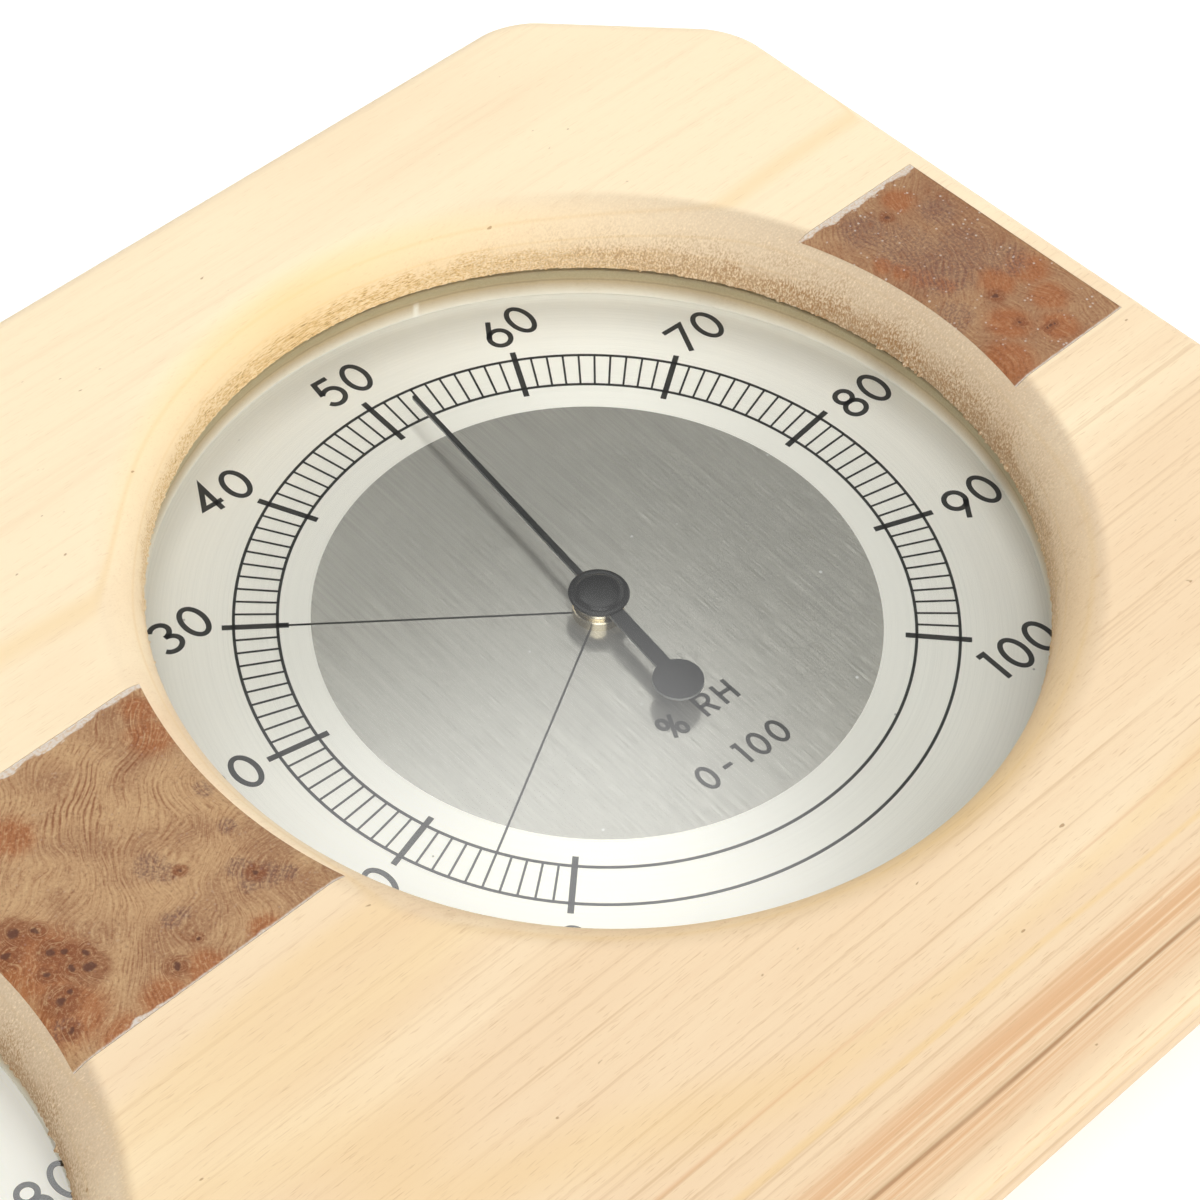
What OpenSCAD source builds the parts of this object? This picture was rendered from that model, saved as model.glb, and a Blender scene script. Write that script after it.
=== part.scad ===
// Twin-dial wall board: a hygrometer and a thermometer let into one wooden board.
// Millimetres. The board lies on its back: +Z leaves the dials, +Y is twelve o'clock
// and +X runs along the board towards the hygrometer. Origin: centre of the back face.

/* [Board] */
// Length of the board
board_l = 248; // [240:1:320]
// Width of the board
board_w = 136; // [128:1:190]
// Thickness of the board
board_t = 22; // [21:0.5:32]
// Leg of the cut across each corner
corner_cut = 18; // [10:1:28]
// Rounding where a corner cut meets a side
corner_r = 9; // [4:0.5:14]
// Rounding of the front edge
edge_r = 2.1; // [1:0.1:3.5]
// Height of the upright band round the edge, down to the undercut
edge_h = 4.9; // [4:0.1:8]
// How far the undercut sets the back in
back_inset = 8; // [4:0.5:8.5]
// Upright land left round the back
back_land = 1; // [0.5:0.1:2]

/* [Openings] */
// Distance between the two dial centres
dial_spacing = 120; // [116:0.5:150]
// Height of the dial centres above the middle of the board
dial_rise = 5.7; // [0:0.1:6]
// Radius of each opening at its lower rim
opening_r = 43.9; // [40:0.1:44.5]
// Radius of the round-over at the mouth of each opening
mouth_r = 5; // [3:0.1:6]
// Wood left in front of the glass
rim_t = 6.6; // [6.2:0.1:7.5]
// Radius of the pocket behind the rim
pocket_r = 47.3; // [46.5:0.1:48.5]
// Radial room round what sits in the pocket
pocket_gap = 0.3; // [0.1:0.05:0.5]
// Width of the vent channel under each case
vent_w = 12; // [6:1:20]

/* [Inlay] */
// Width of the burl strip
inlay_w = 29.2; // [20:0.1:36]
// Thickness of the burl veneer
inlay_t = 0.5; // [0.4:0.05:1.2]
// Height of the strip's middle above the dial centres
inlay_rise = 1.2; // [-3:0.1:3]
// Pale wood left past each end of the strip
inlay_end = 3; // [2.5:0.1:6]
// Glue gap round the veneer
inlay_gap = 0.05; // [0.02:0.01:0.2]

/* [Dial and glass] */
// Thickness of the glass
glass_t = 1.2; // [1:0.1:1.6]
// Height of the glass above the dial
glass_gap = 3.4; // [3.2:0.1:4.2]
// Wall of the spacer ring between dial and glass
spacer_w = 2.4; // [1.2:0.1:3]
// Thickness of the dial plate
dial_t = 0.5; // [0.4:0.05:0.8]
// Turn of both dials as fitted, clockwise negative
dial_turn = -3.3; // [-6:0.1:6]
// Sweep of the hygrometer scale, 0 to 100 percent
hygro_sweep = 270; // [240:5:300]
// Reading of the hygrometer at rest, percent
hygro_reading = 52; // [0:1:100]
// Sweep of the thermometer scale, 0 to 90 degrees
thermo_sweep = 270; // [240:5:300]
// Reading of the thermometer at rest, degrees Celsius
thermo_reading = 24; // [0:1:90]

/* [Pointer] */
// Reach of the needle from the arbor to its tip
needle_l = 32.4; // [26:0.1:38]
// Width of the needle at the hub
needle_w = 0.75; // [0.5:0.05:1.5]
// Width of the needle at its tip
needle_tip_w = 0.5; // [0.3:0.05:1]
// Distance from the arbor to the middle of the paddle
tail_l = 13; // [8:0.1:18]
// Width of the tail
tail_w = 1.6; // [1:0.1:2.4]
// Radius of the paddle
paddle_r = 2.5; // [1.5:0.1:4]
// Thickness of the pointer sheet
pointer_t = 0.3; // [0.2:0.05:0.4]
// Radius of the disc under the cap
pointer_disc_r = 2.2; // [1.8:0.1:2.8]
// Radius of the pointer's collar
pointer_collar_r = 1.4; // [1.2:0.1:2]
// Radius of the pointer cap
cap_r = 3.03; // [2.5:0.05:4]
// Radius of the raised middle of the cap
cap_dome_r = 2.35; // [1.5:0.05:2.5]
// Thickness of the pointer cap in its middle
cap_t = 0.5; // [0.4:0.05:0.6]
// Thickness of the pointer cap at its rim
cap_rim_t = 0.3; // [0.2:0.05:0.35]
// Room between the cap and the glass
cap_gap = 0.2; // [0.15:0.05:0.3]

/* [Movement] */
// Radius of the arbor
arbor_r = 0.5; // [0.4:0.05:0.7]
// Running clearance of the arbor and of the regulator, on the radius
run_gap = 0.05; // [0.02:0.01:0.08]
// Clearance of pressed and screwed pieces, on the radius
press_gap = 0.02; // [0.01:0.01:0.05]
// End play of turning pieces
end_play = 0.15; // [0.1:0.05:0.2]
// Radius of the bush's shank
bush_r = 1.6; // [1.4:0.05:1.8]
// Radius of the bush's flange on the dial
bush_flange_r = 2.55; // [2:0.05:3.2]
// Height of the bush's flange
bush_flange_h = 1.1; // [0.8:0.05:1.2]
// Radius of the step on top of the flange
bush_step_r = 2.2; // [1.8:0.05:2.8]
// Height of the step
bush_step_h = 0.5; // [0.3:0.05:0.6]
// Width of the bush nut across its flats
nut_af = 5; // [4.4:0.1:6]
// Thickness of the bush nut
nut_t = 1.2; // [0.8:0.1:1.4]
// Thread of the bush that stands past its nut
bush_thread = 0.2; // [0.1:0.05:0.4]
// Thickness of the bridge's sheet
bridge_t = 0.6; // [0.5:0.05:0.8]
// Width of the bridge
bridge_w = 8; // [7:0.1:12]
// Distance from the arbor to the back of the bridge's web
bridge_reach = 20; // [18:0.1:24]
// Radius of the rear bearing's boss
bearing_r = 1.5; // [1.2:0.05:2]
// Radius of the rear bearing's head
bearing_head_r = 2.4; // [2.2:0.05:3]
// Thickness of the rear bearing's head
bearing_head_t = 0.4; // [0.3:0.05:0.5]
// Room between the rear bearing and the case
bearing_gap = 0.3; // [0.2:0.05:0.5]

/* [Sensing coil] */
// Turns of the coil
coil_turns = 10; // [6:1:10]
// Thickness of the coil's strip
coil_t = 0.2; // [0.15:0.01:0.3]
// Spacing from turn to turn
coil_pitch = 1.2; // [0.9:0.05:1.3]
// Room above and below the coil
coil_gap = 0.75; // [0.5:0.05:0.9]
// Radius of the collet that holds the coil's inner end
collet_r = 1.6; // [1.2:0.05:2]
// Room at the coil's clamped ends
coil_clamp_gap = 0.2; // [0.16:0.01:0.3]
// Room between the outer end's stud and the next turn in
stud_gap = 0.2; // [0.1:0.05:0.3]

/* [Regulator] */
// Thickness of the regulator
regulator_t = 0.6; // [0.5:0.05:0.7]
// Width of the regulator's lever
lever_w = 2.6; // [2.4:0.1:3.2]
// Radius of the regulator's eye
regulator_eye_r = 3.4; // [3:0.1:4.5]
// Distance from the arbor to the lever's tab
lever_r = 21; // [19:0.1:26]
// Radius of the lever's tab
tab_r = 1; // [0.8:0.05:1.2]
// How far the lever's tab stands out behind the case
tab_out = 0.35; // [0.1:0.05:0.6]
// Turn of the regulator either way
regulator_turn = 20; // [10:1:30]

/* [Case] */
// Thickness of the case's sheet
case_t = 0.6; // [0.5:0.05:0.8]
// Depth of the case's back behind the board's back face
case_recess = 0.8; // [0.8:0.05:1.2]
// Radius of the case's flange
flange_r = 51.5; // [51:0.1:53]
// Room between the lever's tab and its slot
slot_gap = 0.5; // [0.3:0.05:0.8]
// Number of vent holes in the case
vent_count = 16; // [8:1:20]
// Radius of a vent hole
vent_r = 2; // [1:0.1:3]
// Radius of the ring of vent holes
vent_ring_r = 34; // [30:0.1:38]

/* [Fasteners] */
// Number of screws in each case
case_screw_count = 3; // [3:1:4]
// Radius of a screw's shank
screw_r = 1; // [0.8:0.05:1.2]
// Radius of a screw's head
screw_head_r = 2; // [1.6:0.05:2.1]
// Height of a screw's head
screw_head_h = 0.7; // [0.5:0.05:0.75]
// Length of a screw's shank
screw_l = 7; // [5:0.1:9]
// Room round a screw in the metal that it holds
screw_gap = 0.2; // [0.1:0.05:0.3]
// Width of a screw's cross slot
screw_slot_w = 0.5; // [0.3:0.05:0.7]
// Length of a screw's cross slot
screw_slot_l = 2.8; // [2:0.1:3]
// Depth of a screw's cross slot
screw_slot_h = 0.4; // [0.2:0.05:0.45]

/* [Hanger] */
// Width of the keyhole plate
hanger_w = 26; // [24:0.5:28]
// Height of the keyhole plate
hanger_h = 24; // [22:0.5:26]
// Thickness of the keyhole plate
hanger_t = 1; // [0.8:0.1:1.5]
// Height of the plate's middle above the middle of the board
hanger_rise = 43; // [41:0.5:46]
// Radius of the keyhole's entry
keyhole_r = 4.2; // [3.5:0.1:5]
// Half width of the keyhole's slot
keyhole_slot_r = 2.1; // [1.5:0.1:2.5]
// Length of the slot from the entry's middle
keyhole_l = 8; // [6:0.1:9]
// Depth of the hollow for the wall screw's head
keyhole_depth = 5; // [4.2:0.1:7]
// Room round the keyhole in the hollow
keyhole_gap = 1; // [0.5:0.1:1.5]
// Distance of each plate screw from the board's middle line
hanger_screw_x = 9.5; // [8.5:0.1:10.5]
// Room round the keyhole plate
hanger_gap = 0.2; // [0.1:0.05:0.4]

/* [Hidden] */
$fn = 96;
hull_fn = 32;
past = 1;

hygro_x = dial_spacing / 2;
inlay_x = board_l / 2 - inlay_end;
hygro_span = 100;
thermo_span = 90;

// Levels from the back face, front to back
seat_z = board_t - rim_t;
glass_z = seat_z - glass_t;
dial_z = glass_z - glass_gap;
dial_back_z = dial_z - dial_t;
case_inner_z = case_recess + case_t;
inlay_z = board_t - inlay_t;

// Levels of the movement
bush_top_z = dial_z + bush_flange_h + bush_step_h;
cap_z = glass_z - cap_gap - cap_t;
pointer_z = cap_z - pointer_t;
nut_z = dial_back_z - bridge_t - nut_t;
bush_end_z = nut_z - bush_thread;
head_z = case_inner_z + bearing_gap;
regulator_z = head_z + bearing_head_t + end_play;
leg_z = regulator_z + regulator_t + end_play;
leg_front_z = leg_z + bridge_t;
coil_z = leg_front_z + coil_gap;
coil_h = bush_end_z - coil_gap - coil_z;
arbor_z = head_z + end_play;

// Radii worked out from the fits
fitted_r = pocket_r - pocket_gap;
bore_r = arbor_r + run_gap;
pressed_bore_r = arbor_r + press_gap;
coil_inner_r = collet_r + coil_clamp_gap + coil_t / 2;
coil_end_r = coil_inner_r + coil_pitch * coil_turns;
stud_r = coil_pitch - coil_t / 2 - stud_gap;
screw_ring_r = (pocket_r + flange_r) / 2;
hanger_z = case_recess;

// Rest turn of each pointer, anticlockwise from twelve o'clock
hygro_turn = dial_turn + hygro_sweep * (0.5 - hygro_reading / hygro_span);
thermo_turn = dial_turn + thermo_sweep * (0.5 - thermo_reading / thermo_span);

// Direction of the coil's stud and of the regulator's lever
lever_turn = 90;
coil_step = 12;
slot_half = regulator_turn + asin((tab_r + slot_gap) / lever_r);
case_screw_turn = 30;

module at_hygro() {
    translate([hygro_x, dial_rise, 0]) children();
}

module at_thermo() {
    translate([-hygro_x, dial_rise, 0]) children();
}

module at_both() {
    at_hygro() children();
    at_thermo() children();
}

// A plain disc or, with a bore, a ring, from level z upwards
module ring(z, h, r, bore = 0) {
    translate([0, 0, z])
        difference() {
            cylinder(r = r, h = h);
            if (bore > 0) translate([0, 0, -past]) cylinder(r = bore, h = h + 2 * past);
        }
}

// The corners of an outline with cut corners, set in by d, in order round it
function outline(d) =
    let (x = board_l / 2 - d, y = board_w / 2 - d, c = corner_cut - d * (2 - sqrt(2)))
    [
        [x, c - y], [x, y - c], [x - c, y], [c - x, y],
        [-x, y - c], [-x, c - y], [c - x, -y], [x - c, -y]
    ];

// One rounded corner of the board's front band
module edge_disc() {
    translate([0, 0, board_t - edge_h])
        cylinder(r = corner_r, h = edge_h - edge_r, $fn = hull_fn);
    translate([0, 0, board_t - edge_r])
        rotate_extrude($fn = hull_fn)
            translate([corner_r - edge_r, 0]) circle(r = edge_r, $fn = hull_fn);
}

module board_blank() {
    hull() {
        for (p = outline(corner_r)) translate(p) edge_disc();
        linear_extrude(back_land) polygon(outline(back_inset));
    }
}

// What a dial opening takes out of the board's front, its mouth rounded over
module opening_cut() {
    rotate_extrude() {
        square([opening_r, board_t + past]);
        difference() {
            translate([0, board_t - mouth_r]) square([opening_r + mouth_r, mouth_r]);
            translate([opening_r + mouth_r, board_t - mouth_r]) circle(r = mouth_r);
        }
    }
}

// What one instrument takes out of the board's back
module pocket_cut() {
    translate([0, 0, -past]) cylinder(r = pocket_r, h = seat_z + past);
    translate([0, 0, -past]) cylinder(r = flange_r + pocket_gap, h = case_inner_z + past);
    translate([-vent_w / 2, -board_w, -past]) cube([vent_w, board_w, case_inner_z + past]);
    at_case_screws() cylinder(r = screw_r + press_gap, h = case_recess + screw_l + past);
}

// A length of the strip from x0 to x1, grown by gap all round and by over at the front
module inlay_blank(x0, x1, gap = 0, over = 0) {
    translate([x0 - gap, dial_rise + inlay_rise - inlay_w / 2 - gap, inlay_z])
        cube([x1 - x0 + 2 * gap, inlay_w + 2 * gap, inlay_t + over]);
}

module inlay(x0, x1) {
    color("sienna")
        difference() {
            inlay_blank(x0, x1);
            at_both() opening_cut();
        }
}

module at_hanger_screws() {
    for (side = [-1, 1]) translate([side * hanger_screw_x, hanger_rise, 0]) children();
}

// The keyhole's outline grown by g, entry below and slot above
module keyhole(g, h) {
    translate([0, hanger_rise - keyhole_l / 2, 0]) {
        cylinder(r = keyhole_r + g, h = h);
        translate([-keyhole_slot_r - g, 0, 0]) cube([2 * (keyhole_slot_r + g), keyhole_l, h]);
        translate([0, keyhole_l, 0]) cylinder(r = keyhole_slot_r + g, h = h);
    }
}

// The hollow behind the keyhole plate, wide enough for the head all the way up
module keyhole_hollow() {
    r = keyhole_r + keyhole_gap;
    translate([0, hanger_rise - keyhole_l / 2, hanger_z]) {
        cylinder(r = r, h = hanger_t + keyhole_depth);
        translate([-r, 0, 0]) cube([2 * r, keyhole_l, hanger_t + keyhole_depth]);
        translate([0, keyhole_l, 0]) cylinder(r = r, h = hanger_t + keyhole_depth);
    }
}

module hanger_cut() {
    w = hanger_w + 2 * hanger_gap;
    h = hanger_h + 2 * hanger_gap;
    translate([-w / 2, hanger_rise - h / 2, -past]) cube([w, h, hanger_z + hanger_t + past]);
    keyhole_hollow();
    at_hanger_screws() cylinder(r = screw_r + press_gap, h = hanger_z + screw_l + past);
}

module board() {
    color("burlywood")
        difference() {
            board_blank();
            at_both() opening_cut();
            at_both() pocket_cut();
            inlay_blank(-inlay_x, inlay_x, inlay_gap, past);
            hanger_cut();
        }
}

// A screw with its head behind level 0 and its shank in front of it
module screw() {
    difference() {
        union() {
            cylinder(r = screw_r, h = screw_l);
            translate([0, 0, -screw_head_h]) cylinder(r = screw_head_r, h = screw_head_h);
        }
        for (turn = [0, 90])
            rotate(turn)
                translate([-screw_slot_l / 2, -screw_slot_w / 2, -screw_head_h - past])
                    cube([screw_slot_l, screw_slot_w, screw_slot_h + past]);
    }
}

module hanger_plate() {
    color("silver")
        difference() {
            translate([-hanger_w / 2, hanger_rise - hanger_h / 2, hanger_z])
                cube([hanger_w, hanger_h, hanger_t]);
            translate([0, 0, hanger_z - past]) keyhole(0, hanger_t + 2 * past);
            at_hanger_screws() cylinder(r = screw_r + screw_gap, h = hanger_z + hanger_t + past);
        }
}

module hanger_screws() {
    color("silver") at_hanger_screws() translate([0, 0, hanger_z]) screw();
}

module glass() {
    color("lightcyan", 0.35) ring(glass_z, glass_t, fitted_r);
}

module spacer() {
    color("tan") ring(dial_z, glass_gap, fitted_r, fitted_r - spacer_w);
}

module dial() {
    color("gainsboro") ring(dial_back_z, dial_t, fitted_r, bush_r + press_gap);
}

module bush() {
    color("lightgoldenrodyellow")
        difference() {
            union() {
                ring(bush_end_z, dial_z - bush_end_z, bush_r);
                ring(dial_z, bush_flange_h, bush_flange_r);
                ring(dial_z + bush_flange_h, bush_step_h, bush_step_r);
            }
            translate([0, 0, bush_end_z - past])
                cylinder(r = bore_r, h = bush_top_z - bush_end_z + 2 * past);
        }
}

module bush_nut() {
    color("silver")
        translate([0, 0, nut_z])
            difference() {
                cylinder(r = nut_af / sqrt(3), h = nut_t, $fn = 6);
                translate([0, 0, -past]) cylinder(r = bush_r + press_gap, h = nut_t + 2 * past);
            }
}

// A strip bent to a U: a front leg under the dial, a web and a rear leg
module bridge() {
    front_z = dial_back_z - bridge_t;
    color("goldenrod")
        difference() {
            translate([-bridge_w / 2, -bridge_reach, 0]) {
                translate([0, 0, front_z]) cube([bridge_w, bridge_reach + bridge_w / 2, bridge_t]);
                translate([0, 0, leg_z]) cube([bridge_w, bridge_reach + bridge_w / 2, bridge_t]);
                translate([0, 0, leg_z]) cube([bridge_w, bridge_t, dial_back_z - leg_z]);
            }
            translate([0, 0, front_z - past]) cylinder(r = bush_r + press_gap, h = bridge_t + 2 * past);
            translate([0, 0, leg_z - past]) cylinder(r = bearing_r + press_gap, h = bridge_t + 2 * past);
        }
}

module rear_bearing() {
    color("goldenrod")
        difference() {
            union() {
                ring(head_z, bearing_head_t, bearing_head_r);
                ring(head_z, leg_front_z - head_z, bearing_r);
            }
            translate([0, 0, head_z - past]) cylinder(r = bore_r, h = leg_front_z - head_z + 2 * past);
        }
}

// A flat lever that turns on the rear bearing, its tab reaching out through the case
module regulator() {
    tab_z = case_recess - tab_out;
    color("silver")
        difference() {
            union() {
                ring(regulator_z, regulator_t, regulator_eye_r);
                rotate(lever_turn) {
                    translate([0, -lever_w / 2, regulator_z]) cube([lever_r, lever_w, regulator_t]);
                    translate([lever_r, 0, regulator_z]) cylinder(r = lever_w / 2, h = regulator_t);
                    translate([lever_r, 0, tab_z])
                        cylinder(r = tab_r, h = regulator_z - tab_z + regulator_t / 2);
                }
            }
            translate([0, 0, regulator_z - past])
                cylinder(r = bearing_r + run_gap, h = regulator_t + 2 * past);
        }
}

// A post on the lever, slotted for the coil's outer end
module coil_stud() {
    stud_z = regulator_z + regulator_t;
    slot_w = coil_t + 2 * coil_clamp_gap;
    color("goldenrod")
        rotate(lever_turn)
            translate([coil_end_r, 0, 0])
                difference() {
                    translate([0, 0, stud_z]) cylinder(r = stud_r, h = coil_z + coil_h - stud_z);
                    translate([-slot_w / 2, -stud_r - past, coil_z - coil_clamp_gap])
                        cube([slot_w, 2 * (stud_r + past), coil_h + past]);
                }
}

// A point of the coil after turning by a, off its middle line by d
function coil_point(a, d) =
    (coil_inner_r + coil_pitch * a / 360 + d) * [cos(a + lever_turn), sin(a + lever_turn)];

module coil(tint) {
    last = 360 * coil_turns;
    color(tint)
        translate([0, 0, coil_z])
            linear_extrude(coil_h)
                polygon(concat(
                    [for (a = [0 : coil_step : last]) coil_point(a, coil_t / 2)],
                    [for (a = [last : -coil_step : 0]) coil_point(a, -coil_t / 2)]
                ));
}

module collet() {
    color("goldenrod") ring(coil_z, coil_h, collet_r, pressed_bore_r);
}

module arbor() {
    color("silver") ring(arbor_z, cap_z - arbor_z, arbor_r);
}

// Needle, disc, tail and paddle in one sheet, pointing to twelve o'clock before its turn
module pointer(turn) {
    collar_z = bush_top_z + end_play;
    color([0.12, 0.12, 0.13])
        rotate(turn)
            difference() {
                union() {
                    translate([0, 0, pointer_z]) linear_extrude(pointer_t) pointer_outline();
                    ring(collar_z, pointer_z - collar_z, pointer_collar_r);
                }
                translate([0, 0, collar_z - past])
                    cylinder(r = pressed_bore_r, h = cap_z - collar_z + 2 * past);
            }
}

module pointer_outline() {
    tip = needle_l - needle_tip_w / 2;
    circle(r = pointer_disc_r);
    polygon([[-needle_w / 2, 0], [needle_w / 2, 0], [needle_tip_w / 2, tip], [-needle_tip_w / 2, tip]]);
    translate([0, tip]) circle(r = needle_tip_w / 2);
    translate([-tail_w / 2, -tail_l]) square([tail_w, tail_l]);
    translate([0, -tail_l]) circle(r = paddle_r);
}

module pointer_cap() {
    color([0.1, 0.1, 0.11]) {
        ring(cap_z, cap_rim_t, cap_r);
        ring(cap_z, cap_t, cap_dome_r);
    }
}

module at_case_screws() {
    for (i = [0 : case_screw_count - 1])
        rotate(case_screw_turn + 360 * i / case_screw_count) translate([screw_ring_r, 0, 0]) children();
}

module vents() {
    for (i = [0 : vent_count - 1])
        rotate(360 * (i + 0.5) / vent_count)
            translate([vent_ring_r, 0, 0]) cylinder(r = vent_r, h = case_inner_z + past);
}

// The curved slot that the regulator's tab moves in
module lever_slot() {
    w = 2 * (tab_r + slot_gap);
    rotate(lever_turn - slot_half)
        rotate_extrude(angle = 2 * slot_half)
            translate([lever_r - w / 2, 0]) square([w, case_inner_z + past]);
}

// A spun cup with a flange: it carries the dial on its wall and is screwed to the board
module case_cup() {
    wall_z = case_recess + case_t / 2;
    color("lightgray")
        difference() {
            union() {
                ring(case_recess, case_t, flange_r);
                ring(wall_z, dial_back_z - wall_z, fitted_r, fitted_r - case_t);
            }
            vents();
            lever_slot();
            at_case_screws() cylinder(r = screw_r + screw_gap, h = case_inner_z + past);
        }
}

module case_screws() {
    color("silver") at_case_screws() translate([0, 0, case_recess]) screw();
}

board();
inlay(-inlay_x, -hygro_x);  // inlay_left
inlay(-hygro_x, hygro_x);  // inlay_middle
inlay(hygro_x, inlay_x);  // inlay_right
hanger_plate();
hanger_screws();
at_hygro() glass();  // hygro_glass
at_hygro() spacer();  // hygro_spacer
at_hygro() dial();  // hygro_dial
at_hygro() bush();  // hygro_bush
at_hygro() bush_nut();  // hygro_bush_nut
at_hygro() bridge();  // hygro_bridge
at_hygro() rear_bearing();  // hygro_rear_bearing
at_hygro() regulator();  // hygro_regulator
at_hygro() coil_stud();  // hygro_coil_stud
at_hygro() coil("peru");  // hygro_coil
at_hygro() collet();  // hygro_collet
at_hygro() arbor();  // hygro_arbor
at_hygro() pointer(hygro_turn);  // hygro_pointer
at_hygro() pointer_cap();  // hygro_pointer_cap
at_hygro() case_cup();  // hygro_case
at_hygro() case_screws();  // hygro_case_screws
at_thermo() glass();  // thermo_glass
at_thermo() spacer();  // thermo_spacer
at_thermo() dial();  // thermo_dial
at_thermo() bush();  // thermo_bush
at_thermo() bush_nut();  // thermo_bush_nut
at_thermo() bridge();  // thermo_bridge
at_thermo() rear_bearing();  // thermo_rear_bearing
at_thermo() regulator();  // thermo_regulator
at_thermo() coil_stud();  // thermo_coil_stud
at_thermo() coil("darkgray");  // thermo_coil
at_thermo() collet();  // thermo_collet
at_thermo() arbor();  // thermo_arbor
at_thermo() pointer(thermo_turn);  // thermo_pointer
at_thermo() pointer_cap();  // thermo_pointer_cap
at_thermo() case_cup();  // thermo_case
at_thermo() case_screws();  // thermo_case_screws
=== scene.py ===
"""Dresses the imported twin-dial board: wood, burl strip, dials, pointers, glass, fittings and stage.

Lengths are metres in Blender and millimetres in the finishes. The board lies on its back, +Z leaves the dials.
"""
import math

import bmesh
import bpy
from bpy.props import FloatProperty, FloatVectorProperty, IntProperty, PointerProperty
from mathutils import Matrix, Vector, noise


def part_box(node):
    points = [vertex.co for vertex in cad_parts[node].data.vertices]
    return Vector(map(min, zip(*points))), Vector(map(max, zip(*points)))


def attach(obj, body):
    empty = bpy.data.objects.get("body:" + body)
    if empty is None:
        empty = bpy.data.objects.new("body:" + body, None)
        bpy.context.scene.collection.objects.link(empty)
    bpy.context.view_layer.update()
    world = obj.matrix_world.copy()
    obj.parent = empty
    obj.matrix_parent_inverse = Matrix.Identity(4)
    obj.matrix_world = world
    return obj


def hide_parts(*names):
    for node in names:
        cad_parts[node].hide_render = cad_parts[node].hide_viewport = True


bl_info = {
    "name": "Twin-dial board",
    "version": (1, 0, 0),
    "blender": (4, 5, 0),
    "location": "3D View > Sidebar > Twin-dial board",
    "description": "Dresses the packed board with its wood, burl strip, dials, pointers, glass and stage",
    "category": "Object",
}

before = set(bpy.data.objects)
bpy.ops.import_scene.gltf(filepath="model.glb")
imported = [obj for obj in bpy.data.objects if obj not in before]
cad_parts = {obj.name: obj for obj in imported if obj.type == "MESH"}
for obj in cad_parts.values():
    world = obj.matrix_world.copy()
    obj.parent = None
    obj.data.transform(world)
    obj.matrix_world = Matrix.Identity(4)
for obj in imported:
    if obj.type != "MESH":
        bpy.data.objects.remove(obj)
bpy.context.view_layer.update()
MM = 0.001
KINDS = ("hygro", "thermo")
SAME_LEVEL = 0.001 * MM
RING_FACETS, CAP_FACETS, BUSH_FACETS, HOLLOW_FACETS = 256, 128, 96, 64


def dial_centre(kind):
    """The middle of an instrument's dial face."""
    low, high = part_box(kind + "_dial")
    return Vector(((low.x + high.x) / 2, (low.y + high.y) / 2, high.z))


# Properties

def length(name, description, mm):
    """A length whose default is given in millimetres."""
    return FloatProperty(name=name, description=description, default=mm * MM, min=0, unit="LENGTH", precision=5)


def angle(name, description, degrees):
    """An angle whose default is given in degrees."""
    return FloatProperty(name=name, description=description, default=math.radians(degrees), subtype="ANGLE")


def level(name, description, value):
    """A plain strength."""
    return FloatProperty(name=name, description=description, default=value, min=0)


def linear(channel):
    """A display channel from 0 to 255 as a linear value."""
    c = channel / 255
    return c / 12.92 if c <= 0.04045 else ((c + 0.055) / 1.055) ** 2.4


def colour(name, description, red, green, blue):
    """A colour whose default is given in display channels from 0 to 255."""
    value = tuple(linear(c) for c in (red, green, blue))
    return FloatVectorProperty(name=name, description=description, default=value, min=0, max=1, subtype="COLOR")


class BoardSizes(bpy.types.PropertyGroup):
    """Forms of the wooden board that its box doesn't give."""
    corner_cut: length("Corner cut", "Leg of the cut across each corner", 18)
    corner_round: length("Corner rounding", "Rounding where a cut meets a side", 9)
    edge_round: length("Edge rounding", "Rounding of the front edge", 2.1)
    band: length("Edge band", "Height of the upright band round the edge", 4.9)
    band_break: length("Band break", "Bevel along the band's lower edge", 0.4)
    back_inset: length("Back inset", "How far the undercut sets the back in", 8)
    back_land: length("Back land", "Upright land round the back", 1)
    opening: length("Opening radius", "Radius of each opening at its lower rim", 43.9)
    mouth: length("Mouth rounding", "Round-over at the mouth of each opening", 5)
    fray: length("Fraying", "Depth of the torn fibres at the lower rim", 0.35)
    pocket: length("Pocket radius", "Radius of the pocket behind the rim", 47.3)
    counterbore: length("Counterbore radius", "Radius of the recess for the case's flange", 51.8)
    flange_depth: length("Flange depth", "From the screws' heads to the floor of that recess", 1.3)
    rim_facets: IntProperty(name="Rim facets", description="Facets round an opening", default=1080, min=90)
    vent: length("Vent width", "Width of the channel under each case", 12)
    hollow: length("Hanger hollow", "Half width of the hollow behind the keyhole", 5.2)
    hollow_top: length("Hollow depth", "Level that the hanger's hollow reaches", 6.8)
    keyhole_run: length("Keyhole run", "Length of the keyhole's slot", 8)
    gap: length("Fitting gap", "Room round the inlay and the keyhole plate", 0.05)


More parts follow.
